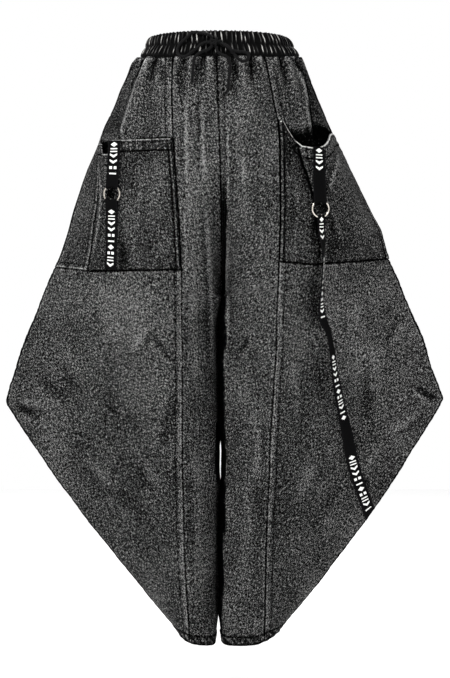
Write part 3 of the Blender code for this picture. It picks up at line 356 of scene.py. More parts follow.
def softened(values, reach):
    """A row of level values with its corners rounded."""
    steps = np.arange(-LEVELS_NEAR, LEVELS_NEAR + 1)
    weights = bell(steps * LEVEL_STEP, reach)
    padded = np.pad(values, LEVELS_NEAR, mode="edge")
    return np.convolve(padded, weights / weights.sum(), mode="valid")


def spaced(points, count):
    """count + 1 points evenly along a polyline."""
    along = distances(points)
    return read_at(np.linspace(0, along[-1], count + 1), along, points).T


def rounded(points, closed, centre, edge):
    """The half section with soft corners: wide ones on the body, small ones at the outer edge."""
    count = len(points)
    first, last = points[1:OVERHANG + 1], points[-OVERHANG - 1:-1]
    if closed:
        before, after = last, first
    else:
        mirror, twice_centre = np.array([-1, 1]), [2 * centre, 0]
        before = (first * mirror + twice_centre)[::-1]
        after = (last * mirror + twice_centre)[::-1]
    whole = np.concatenate([before, points, after])
    along = distances(whole)
    here = along[OVERHANG:OVERHANG + count]
    from_edge = np.abs(here - here[count // 2])
    reach = np.minimum(BODY_ROUNDING, 0.6 * edge + 0.35 * from_edge)
    weights = bell(here[:, None] - along[None, :], reach[:, None])
    return weights @ whole / weights.sum(axis=1, keepdims=True)


def half_section(row, centre, outer, closed):
    """One level's half section in x, distance outwards, and y."""
    front = [
        (centre, -row["centre"]),
        (centre + row["inner_x"], -row["inner"]),
        (row["crown_x"] * outer, -row["crown"]),
        (row["shoulder_x"] * outer, -row["shoulder"]),
        (outer, -row["edge"]),
        (outer, 0.0),
    ]
    if closed:
        front[1] = (centre, -row["inner"])
    back = [(x, -y * row["back"]) for x, y in reversed(front)]
    halves = [spaced(np.array(half), HALF_SAMPLES) for half in (front, back)]
    line = rounded(np.concatenate([halves[0], halves[1][1:]]), closed, centre, row["edge"])
    line[:, 0] = centre + (line[:, 0] - line[0, 0]) * (outer - centre) / (line[:, 0].max() - line[0, 0])
    return line


def make_form(side):
    """Points and outward normals on a grid of levels by u, for one side."""
    columns = {
        name: softened(read(SECTION, LEVELS, i), 0.004 if name == "centre" else 0.010)
        for i, name in enumerate(SECTION_COLUMNS)
    }
    columns["centre"] = np.where(LEVELS >= CROTCH, 0.0, columns["centre"])
    middle = {name: read(CENTRE, LEVELS, i) for i, name in enumerate(CENTRE_COLUMNS)}
    outer = softened(read(OUTLINE[side], LEVELS), 0.002)
    points = []
    for i in range(len(LEVELS)):
        row = {name: values[i] for name, values in columns.items()}
        centre = side * middle["centre"][i] + middle["gap"][i] / 2
        line = half_section(row, centre, outer[i], LEVELS[i] >= CROTCH)
        line[:, 0] *= side
        nearness = np.exp(-(((line[:, 0] - middle["centre"][i]) / 0.030) ** 2))
        line[:, 0] += middle["lean"][i] * line[:, 1] * nearness
        points.append(line)
    points = np.array(points)
    along = np.gradient(points, axis=1)
    normals = np.stack([-along[..., 1], along[..., 0]], axis=2) * -side
    normals /= np.linalg.norm(normals, axis=2, keepdims=True)
    return {"points": points, "normals": normals}


FORM = {side: make_form(side) for side in (RIGHT, LEFT)}


def on_grid(values, u, drop):
    """A grid of level by u read between its points."""
    level = np.clip((drop - LEVELS[0]) / LEVEL_STEP, 0, len(LEVELS) - 1.001)
    column = np.clip(u * HALF_SAMPLES, 0, 2 * HALF_SAMPLES - 0.001)
    i, j = np.floor(level).astype(int), np.floor(column).astype(int)
    a, b = (level - i)[..., None], (column - j)[..., None]
    upper = values[i, j] * (1 - b) + values[i, j + 1] * b
    lower = values[i + 1, j] * (1 - b) + values[i + 1, j + 1] * b
    return upper * (1 - a) + lower * a


def u_at_x(side, drop, x):
    """u on the front where the form is x from the middle."""
    found = []
    for one_drop, one_x in zip(np.ravel(drop), np.ravel(x), strict=True):
        level = int(round((one_drop - LEVELS[0]) / LEVEL_STEP))
        line = np.maximum.accumulate(FORM[side]["points"][level, :HALF_SAMPLES + 1, 0] * side)
        found.append(np.interp(one_x, line, np.linspace(0, 1, HALF_SAMPLES + 1)))
    return np.reshape(found, np.shape(drop))


SEAM_U = {
    side: {
        "long": u_at_x(side, LEVELS, read(LONG_SEAM[side], LEVELS)),
        "side": u_at_x(side, LEVELS, read(OUTLINE[side], LEVELS) - read(SIDE_SEAM[side], LEVELS)),
    }
    for side in (RIGHT, LEFT)
}


def drop_at(side, u, q):
    """The drop of a point q of the way down."""
    top, thigh, hem = read(TOP_EDGE, u), read(THIGH_SEAM[side], u), read(HEM[side], u)
    return np.where(q < 1, top + (thigh - top) * q, thigh + (hem - thigh) * (q - 1))


def seam_u(side, seam, q):
    """u of a named seam, q of the way down."""
    fixed = {"front centre": 0.0, "edge": 1.0, "back centre": 2.0}
    if seam in fixed:
        return fixed[seam]
    if seam == "back long":
        return 2 - seam_u(side, "long", q)
    if seam == "wing break":
        at_thigh, long_at_thigh = seam_u(side, "side", 1.0), seam_u(side, "long", 1.0)
        long = seam_u(side, "long", q)
        return long + (1 - long) * (at_thigh - long_at_thigh) / (1 - long_at_thigh)
    u = 0.5
    for _ in range(4):
        u = float(np.interp(drop_at(side, u, q), LEVELS, SEAM_U[side][seam]))
    return u


def fold_height(side, x, y, drop):
    """How far the named folds lift the cloth, at points of the form."""
    lift = np.zeros_like(x)
    for row in FOLDS:
        fold = dict(zip(FOLD_COLUMNS, row, strict=True))
        if fold["side"] != side:
            continue
        face = y < 0 if fold["face"] == "front" else y > 0
        top, low = (fold["top_x"], fold["top_drop"]), (fold["low_x"], fold["low_drop"])
        along, across = from_line(x * side, drop, top, low)
        ends = np.clip(1.15 * np.sin(np.pi * np.clip(along, 0, 1)), 0, 1)
        lift += face * fold["height"] * ends * bell(across, fold["half_width"])
    return lift


def gather_height(kind, f, drop):
    """The gathers in a panel: a whole number of waves, so that they meet their neighbours' at the seams."""
    waves = GATHERS[kind]
    fade = np.clip((GATHER_END - drop) / (GATHER_END - 0.02), 0, 1) ** 1.4
    uneven = 1 + 0.25 * np.sin(5.1 * np.floor(np.clip(f, 0, 0.999) * waves) + waves)
    wave = 0.5 - 0.5 * np.cos(2 * np.pi * waves * f)
    return GATHER_DEPTH * fade * (2 * uneven * wave - 1)


def cloth_point(side, u, drop, out):
    """A point of the cloth's outer surface, moved out, as x, y, z."""
    base, normal = on_grid(FORM[side]["points"], u, drop), on_grid(FORM[side]["normals"], u, drop)
    lift = fold_height(side, base[..., 0], base[..., 1], drop)
    flat = base + normal * (lift + out)[..., None]
    return np.concatenate([flat, -drop[..., None]], axis=-1)


# ---------------------------------------------------------------- materials
class Nodes:
    """A material's node tree, with short calls to add to it."""

    def __init__(self, name):
        self.material = bpy.data.materials.new(name)
        self.material.use_nodes = True
        self.tree = self.material.node_tree
        self.shader = self.tree.nodes["Principled BSDF"]

    def put(self, socket, value):
        """A link where the value is a socket, and a plain value otherwise."""
        if isinstance(value, bpy.types.NodeSocket):
            self.tree.links.new(value, socket)
        else:
            socket.default_value = value

    def add(self, kind, settings=None, **inputs):
        """A node with its settings and inputs. An underline in an input's name stands for a space."""
        made = self.tree.nodes.new(kind)
        for name, value in (settings or {}).items():
            setattr(made, name, value)
        for name, value in inputs.items():
            self.put(made.inputs[name.replace("_", " ")], value)
        return made

    def calc(self, operation, *values, clamp=False):
        """The outcome of a sum on numbers or sockets."""
        made = self.tree.nodes.new("ShaderNodeMath")
        made.operation = operation
        made.use_clamp = clamp
        for socket, value in zip(made.inputs, values):
            self.put(socket, value)
        return made.outputs[0]

    def uv(self, scale, turn=0.0, name="cloth"):
        """The cloth's own coordinates, turned and then scaled, in metres."""
        source = self.add("ShaderNodeUVMap", {"uv_map": name}).outputs[0]
        turned = self.add("ShaderNodeMapping", Vector=source, Rotation=(0, 0, turn)).outputs[0]
        return self.add("ShaderNodeMapping", Vector=turned, Scale=(*scale, 1)).outputs[0]

    def noise(self, vector, detail=2.0, roughness=0.5):
        """Noise on the cloth's own coordinates."""
        return self.add(
            "ShaderNodeTexNoise", {"noise_dimensions": "2D"},
            Vector=vector, Scale=1.0, Detail=detail, Roughness=roughness,
        ).outputs[0]

    def place(self):
        """Where a point of the piece is, in the piece's own space."""
        return self.add("ShaderNodeTexCoord").outputs["Object"]

    def solid_noise(self, scale, detail):
        """Noise through the piece's own space."""
        return self.add("ShaderNodeTexNoise", Vector=self.place(), Scale=scale, Detail=detail).outputs[0]

    def bands(self, vector, direction, scale, distortion, detail=2.0):
        """Wavy bands, as of threads side by side."""
        settings = {"wave_type": "BANDS", "bands_direction": direction}
        return self.add(
            "ShaderNodeTexWave", settings, Vector=vector, Scale=scale, Distortion=distortion, Detail=detail,
        ).outputs["Fac"]

    def attribute(self, name):
        """A value that the mesh holds at each point."""
        return self.add("ShaderNodeAttribute", {"attribute_name": name}).outputs["Fac"]

    def ramp(self, value, stops):
        """A colour for each value, from places and colours in their order."""
        made = self.add("ShaderNodeValToRGB", Fac=value)
        elements = made.color_ramp.elements
        elements[0].position, elements[1].position = stops[0][0], stops[-1][0]
        elements[0].color, elements[1].color = (*stops[0][1], 1), (*stops[-1][1], 1)
        for place, colour in stops[1:-1]:
            elements.new(place).color = (*colour, 1)
        return made.outputs[0]

    def bump(self, height, distance, strength=1.0, below=None):
        """A bumpy surface, on top of another one if that is given."""
        inputs = {"Height": height, "Distance": distance, "Strength": strength}
        if below is not None:
            inputs["Normal"] = below
        return self.add("ShaderNodeBump", **inputs).outputs[0]

    def set(self, **values):
        """The material, once these inputs of its shader are set."""
        for name, value in values.items():
            self.put(self.shader.inputs[name.replace("_", " ")], value)
        return self.material


def spread(nodes, noise, gain):
    """A noise value moved to lie round 0, and made stronger."""
    return nodes.calc("MULTIPLY", nodes.calc("SUBTRACT", noise, 0.5), gain)


GRAIN_GAIN = 3.1
SCRATCH_GAIN = 0.16
DENIM_TONES = (
    (0.0, (0.0003, 0.0003, 0.0003)),
    (0.25, (0.0014, 0.0014, 0.0014)),
    (0.5, (0.0082, 0.0082, 0.0082)),
    (0.75, (0.0280, 0.0280, 0.0277)),
    (0.92, (0.081, 0.0807, 0.0796)),
    (1.0, (0.230, 0.229, 0.226)),
)
WORN_EDGE = (0.55, 0.545, 0.53)


def denim_material():
    """Acid-washed black denim: a diagonal speckle on clouds and a fine twill, paler or darker by its tone,
    which holds wear and painted light and shade.
    """
    n = Nodes("washed_denim_cloth")
    grain = n.noise(n.uv((820, 260), math.radians(38)), 3.0, 0.7)
    cross_grain = n.noise(n.uv((770, 240), math.radians(-42)), 2.0, 0.6)
    blotch = n.noise(n.uv((130, 110)), 3.0, 0.6)
    cloud = n.noise(n.uv((19, 14)), 2.0, 0.5)
    warp = n.noise(n.uv((160, 160)), 1.0, 0.5)
    bent = n.add("ShaderNodeVectorMath", {"operation": "ADD"}).outputs[0]
    n.put(bent.node.inputs[0], n.uv((70, 44), math.radians(28)))
    n.put(bent.node.inputs[1], warp)
    cells = {"feature": "DISTANCE_TO_EDGE", "voronoi_dimensions": "2D"}
    crackle = n.add("ShaderNodeTexVoronoi", cells, Vector=bent, Scale=1.0).outputs[0]
    scratches = n.calc("SUBTRACT", 1.0, n.calc("MULTIPLY", crackle, 14.0), clamp=True)
    # The tone holds the cloth's wear and also painted shade and painted highlights, and is added into the
    # colour.
    tone = n.attribute("tone")
    value = n.calc("ADD", spread(n, grain, GRAIN_GAIN), spread(n, cross_grain, 0.85 * GRAIN_GAIN))
    value = n.calc("ADD", value, spread(n, blotch, 0.45))
    value = n.calc("ADD", value, spread(n, cloud, 0.40))
    value = n.calc("ADD", value, n.calc("MULTIPLY", tone, 0.36))
    value = n.calc("ADD", value, n.calc("MULTIPLY", scratches, SCRATCH_GAIN))
    value = n.calc("ADD", value, 0.5, clamp=True)
    # Shine and sheen fade where the tone paints deep shade, so that painted shade stays dark at grazing
    # angles. The highest tones, from wear and painted highlights, mix to the pale worn colour.
    outside_painted_shade = n.calc("ADD", n.calc("MULTIPLY", tone, 0.6), 1.0, clamp=True)
    wear_and_painted_light = n.calc("SUBTRACT", n.calc("MULTIPLY", tone, 0.9), 1.5, clamp=True)
    colour = n.add(
        "ShaderNodeMixRGB", Fac=wear_and_painted_light, Color1=n.ramp(value, DENIM_TONES), Color2=(*WORN_EDGE, 1.0),
    ).outputs[0]
    twill = n.bands(n.uv((1, 1), math.radians(60)), "X", 300.0, 0.6, 1.0)
    rough = n.bump(grain, 0.0006, 0.8)
    return n.set(
        Base_Color=colour, Roughness=0.86, Sheen_Roughness=0.5,
        Specular_IOR_Level=n.calc("MULTIPLY", outside_painted_shade, 0.03), Sheen_Weight=n.calc("MULTIPLY", outside_painted_shade, 0.010),
        Normal=n.bump(twill, 0.00025, 0.6, rough),
    )


# The elastic's colours: black satin at 0, up to the highlight painted along the ridges' crests at 1.
ELASTIC_AND_HIGHLIGHT_TONES = (
    (0.0, (0.0006, 0.0006, 0.0006)),
    (0.40, (0.0028, 0.0028, 0.0029)),
    (0.72, (0.055, 0.055, 0.053)),
    (1.0, (0.42, 0.41, 0.39)),
)
WEBBING_TONES = (
    (0.0, (0.0008, 0.0008, 0.0009)),
    (0.6, (0.0022, 0.0022, 0.0024)),
    (1.0, (0.010, 0.010, 0.011)),
)
CORD_TONES = (
    (0.0, (0.0010, 0.0010, 0.0010)),
    (0.5, (0.005, 0.005, 0.0052)),
    (1.0, (0.045, 0.045, 0.046)),
)
MARK_TONES = ((0.3, (0.50, 0.50, 0.49)), (0.6, (0.82, 0.82, 0.80)))
THREAD_TONES = ((0.35, (0.0021, 0.0021, 0.0021)), (0.65, (0.006, 0.006, 0.006)))
NICKEL = (0.46, 0.43, 0.39, 1)


def elastic_material():
    """Black satin gathered over elastic, with a highlight painted into its colour along the crest of each
    ridge.
    """
    n = Nodes("ruched_elastic")
    fibre = n.noise(n.uv((900, 240)), 2.0, 0.6)
    # The tone is the highlight painted along each crest.
    crest = n.attribute("tone")
    pale = n.calc("ADD", crest, spread(n, fibre, 0.5), clamp=True)
    return n.set(
        Base_Color=n.ramp(pale, ELASTIC_AND_HIGHLIGHT_TONES),
        Roughness=0.45, Specular_IOR_Level=0.025, Sheen_Weight=0.005, Sheen_Roughness=0.4,
        Normal=n.bump(fibre, 0.0003, 0.5),
    )


def webbing_material():
    """Tight black webbing: ribs across it, slightly worn at the two edges."""
    n = Nodes("woven_webbing")
    ribs = n.bands(n.uv((1, 1)), "Y", 230.0, 0.3)
    fibre = n.noise(n.uv((1200, 500)), 2.0, 0.6)
    edge = n.attribute("tone")
    value = n.calc("ADD", n.calc("MULTIPLY", fibre, 0.5), n.calc("MULTIPLY", edge, 0.5), clamp=True)
    return n.set(
        Base_Color=n.ramp(value, WEBBING_TONES),
        Roughness=0.6, Specular_IOR_Level=0.025,
        Normal=n.bump(ribs, 0.00025, 0.7, n.bump(fibre, 0.0002, 0.4)),
    )


def cord_material():
    """A round black cord: strands that cross each other in a fine braid."""
    n = Nodes("braided_cord")
    strands = n.bands(n.place(), "DIAGONAL", 260.0, 0.8, 1.0)
    value = n.calc("MULTIPLY", strands, n.solid_noise(1400.0, 2.0))
    return n.set(
        Base_Color=n.ramp(value, CORD_TONES),
        Roughness=0.6, Specular_IOR_Level=0.07, Sheen_Weight=0.01, Sheen_Roughness=0.5,
        Normal=n.bump(strands, 0.0005, 0.8),
    )


def thread_material():
    """Black sewing thread, darker in places."""
    n = Nodes("black_thread")
    colour = n.ramp(n.solid_noise(180.0, 1.0), THREAD_TONES)
    return n.set(Base_Color=colour, Roughness=0.6, Specular_IOR_Level=0.1)


def print_material():
    """The webbing's white marks: thick ink, a little broken up by the weave under it."""
    n = Nodes("white_marks")
    colour = n.ramp(n.solid_noise(900.0, 2.0), MARK_TONES)
    return n.set(Base_Color=colour, Roughness=0.55, Specular_IOR_Level=0.3)


def metal_material():
    """Polished nickel with fine scuffs."""
    n = Nodes("polished_nickel")
    scuffs = n.solid_noise(420.0, 3.0)
    roughness = n.calc("ADD", n.calc("MULTIPLY", scuffs, 0.16), 0.10)
    return n.set(Base_Color=NICKEL, Metallic=1.0, Roughness=roughness, Normal=n.bump(scuffs, 0.00004, 0.3))


DENIM_CLOTH = denim_material()
ELASTIC = elastic_material()
WEBBING_CLOTH = webbing_material()
CORD_BRAID = cord_material()
THREAD = thread_material()
MARK_INK = print_material()
METAL = metal_material()


# ---------------------------------------------------------------- meshes
SMOOTHED = math.radians(55)  # a sharper edge than this shows as one
INSIDE_TONE = -0.15


def put_in_scene(name, data):
    """An object of this data, in the scene."""
    made = bpy.data.objects.new(name, data)
    bpy.context.scene.collection.objects.link(made)
    return made


def add_mesh(name, points, faces, finish, tone=None, uv=None, body="garment"):
    """A piece from points and faces, with its faces turned outwards, that rides on a body."""
    points = np.asarray(points, float)
    turned = sum(
        float(np.einsum("ij,ij->i", points[c[:, 0]], np.cross(points[c[:, k]], points[c[:, k + 1]])).sum())
        for c in by_corners(faces)
        for k in range(1, c.shape[1] - 1)
    )
    if turned < 0:
        faces = [face[::-1] for face in faces]
    mesh = bpy.data.meshes.new(name)
    mesh.from_pydata(points.tolist(), [], faces)
    mesh.shade_smooth()
    mesh.set_sharp_from_angle(angle=SMOOTHED)
    mesh.materials.append(finish)
    if tone is not None:
        mesh.attributes.new("tone", "FLOAT", "POINT").data.foreach_set("value", np.asarray(tone, np.float32))
    if uv is not None:
        corners = np.empty(len(mesh.loops), np.int32)
        mesh.loops.foreach_get("vertex_index", corners)
        mesh.uv_layers.new(name="cloth").data.foreach_set("uv", np.asarray(uv, np.float32)[corners].ravel())
    made = put_in_scene(name, mesh)
    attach(made, body)
    return made


def by_corners(faces):
    """The faces as arrays, one for each number of corners."""
    counts = {len(face) for face in faces}
    return [np.array([face for face in faces if len(face) == count]) for count in counts]


def grid_faces(numbers):
    """Four-cornered faces over a grid of point numbers."""
    quads = np.stack([numbers[:-1, :-1], numbers[:-1, 1:], numbers[1:, 1:], numbers[1:, :-1]], axis=-1)
    return quads.reshape(-1, 4).tolist()


def shell(name, outer, inner, tone, uv, finish, body="garment"):
    """A thin closed cloth between an outer and an inner grid of points."""
    rows, columns = outer.shape[:2]
    front = np.arange(rows * columns).reshape(rows, columns)
    back = front + rows * columns
    faces = grid_faces(front) + grid_faces(back[:, ::-1])
    for strip in (
        np.stack([back[0], front[0]]),
        np.stack([front[-1], back[-1]]),
        np.stack([front[:, 0], back[:, 0]]),
        np.stack([back[:, -1], front[:, -1]]),
    ):
        faces += grid_faces(strip)
    points = np.concatenate([outer.reshape(-1, 3), inner.reshape(-1, 3)])
    tones = np.concatenate([tone.ravel(), np.full(tone.size, INSIDE_TONE)])
    places = np.tile(uv.reshape(-1, 2), (2, 1))
    return add_mesh(name, points, faces, finish, tones, places, body)


def joined(parts):
    """One list of points and one of faces, from the points and faces of several parts."""
    points, faces = [], []
    for more_points, more_faces in parts:
        faces += [[number + len(points) for number in face] for face in more_faces]
        points += list(more_points)
    return points, faces


# ---------------------------------------------------------------- drawstring
CORD_STEP = 0.003
KNOT_CENTRE = (-0.0031, -0.0006)  # x, drop
KNOT_OUT = 0.0066  # from the waist's form to the knot's middle
KNOT_RADII = (0.0085, 0.0060, 0.0072)
KNOT_GAP = 0.0006  # from the knot to each end and loop
WRAP_RADIUS = 0.0023
CROSSED_RADIUS = 0.0026
FRONT_SAMPLES = HALF_SAMPLES - 20  # points of the form to each side of the middle of the waist's front
SLOPE_REACH = 0.004
# x, drop, and how far the middle of the cord stands off the waist's form
DRAWSTRING = {
    "drawstring_loop_left": (
        (-0.0110, -0.0100, 0.0074), (-0.0260, -0.0150, 0.0070),
        (-0.0408, -0.0157, 0.0068), (-0.0496, -0.0072, 0.0068), (-0.0595, 0.0020, 0.0068),
        (-0.0631, 0.0126, 0.0070), (-0.0595, 0.0206, 0.0078), (-0.0496, 0.0216, 0.0080),
        (-0.0408, 0.0154, 0.0076), (-0.0319, 0.0080, 0.0070), (-0.0200, 0.0000, 0.0070),
    ),
    "drawstring_end_left": (
        (-0.0140, 0.0105, 0.0070), (-0.0280, 0.0165, 0.0078),
        (-0.0356, 0.0235, 0.0082), (-0.0381, 0.0392, 0.0082), (-0.0400, 0.0640, 0.0070),
    ),
    "drawstring_loop_right": (
        (0.0120, 0.0050, 0.0122), (0.0213, 0.0130, 0.0120),
        (0.0300, 0.0150, 0.0090), (0.0391, 0.0152, 0.0076), (0.0470, 0.0191, 0.0078),
        (0.0470, 0.0250, 0.0080), (0.0418, 0.0299, 0.0080), (0.0351, 0.0290, 0.0080),
        (0.0292, 0.0237, 0.0078), (0.0215, 0.0150, 0.0068), (0.0140, 0.0075, 0.0066),
    ),
    "drawstring_end_right": (
        (-0.0012, 0.0140, 0.0070), (0.0050, 0.0195, 0.0082), (0.0120, 0.0222, 0.0084),
        (0.0174, 0.0290, 0.0082), (0.0189, 0.0417, 0.0080), (0.0164, 0.0615, 0.0072),
        (0.0144, 0.0773, 0.0065), (0.0105, 0.0810, 0.0065),
    ),
}


def waist_point(x, drop, out):
    """A point in front of the waist's form, at x and a drop."""
    level = int(round((drop - LEVELS[0]) / LEVEL_STEP))
    right = FORM[RIGHT]["points"][level, FRONT_SAMPLES:0:-1]
    across, depth = np.concatenate([right, FORM[LEFT]["points"][level, 1:FRONT_SAMPLES]]).T
    rise = np.interp(x + SLOPE_REACH, across, depth) - np.interp(x - SLOPE_REACH, across, depth)
    return np.array([x, np.interp(x, across, depth) - out * math.hypot(1, rise / (2 * SLOPE_REACH)), -drop])


def at_the_knot(point):
    """The middle of a cord's end that starts at the knot, on the way to a point."""
    centre = waist_point(*KNOT_CENTRE, KNOT_OUT)
    away = unit(point - centre)
    return centre + away * (1 / np.linalg.norm(away / KNOT_RADII) + KNOT_GAP)


def cord_curve(name, path, finish):
    """A round cord with closed ends, along a path."""
    curve = bpy.data.curves.new(name, "CURVE")
    curve.dimensions = "3D"
    curve.bevel_depth = CORD_RADIUS
    curve.bevel_resolution = 5
    curve.use_fill_caps = True
    spline = curve.splines.new("POLY")
    spline.points.add(len(path) - 1)
    for point, place in zip(spline.points, path, strict=True):
        point.co = (*place, 1)
    spline.use_smooth = True
    curve.materials.append(finish)
    made = put_in_scene(name, curve)
    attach(made, "garment")
    return made


def add_cord(name, table):
    """A loop of the bow, which comes back to the knot, or one of the drawstring's free ends."""
    is_loop = "loop" in name
    points = np.array([waist_point(*row) for row in table])
    ends = [at_the_knot(points[0])[None], points]
    if is_loop:
        ends.append(at_the_knot(points[-1])[None])
    points = np.concatenate(ends)
    count = int(distances(points)[-1] / CORD_STEP) + 1
    path = smooth_path(points[:, [0, 2, 1]], count)[:, [0, 2, 1]]
    made = cord_curve(f"{name}_cord", path, CORD_BRAID)
    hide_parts(name)


def tube(path, radius, around=12):
    """Points and faces of a closed tube along a path."""
    path = np.asarray(path, float)
    along = unit(np.gradient(path, axis=0))
    side_way = unit(np.cross(along, [0.0, 1.0, 0.12]))
    up_way = np.cross(along, side_way)
    turns = np.linspace(0, 2 * np.pi, around, endpoint=False)[None, :, None]
    rings = path[:, None] + radius * (np.cos(turns) * side_way[:, None] + np.sin(turns) * up_way[:, None])
    numbers = np.arange(len(path) * around).reshape(len(path), around)
    wrapped = np.concatenate([numbers, numbers[:, :1]], axis=1)
    faces = grid_faces(wrapped) + [numbers[0, ::-1].tolist(), numbers[-1].tolist()]
    return rings.reshape(-1, 3), faces


def add_knot():
    """The middle of the bow: a strand wrapped over two that cross under it."""
    centre = waist_point(*KNOT_CENTRE, KNOT_OUT)
    turn = np.linspace(-0.62 * np.pi, 0.62 * np.pi, 15)
    wrap = np.stack([0.0012 * np.sin(turn), -0.0044 * np.cos(turn) + 0.0008, 0.0062 * np.sin(turn)], axis=1)
    lean = np.linspace(-1, 1, 13)
    arch = 1 - lean ** 2
    rising = np.stack([0.0088 * lean, -0.0012 * arch, 0.0028 * lean - 0.0008], axis=1)
    falling = np.stack([0.0088 * lean, 0.0006 - 0.0006 * arch, -0.0032 * lean + 0.0006], axis=1)
    strands = ((wrap, WRAP_RADIUS), (rising, CROSSED_RADIUS), (falling, CROSSED_RADIUS))
    points, faces = joined([tube(centre + path, radius) for path, radius in strands])
    made = add_mesh("bow_knot", points, faces, CORD_BRAID)
    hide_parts("drawstring_knot")


for name, table in DRAWSTRING.items():
    add_cord(name, table)
add_knot()

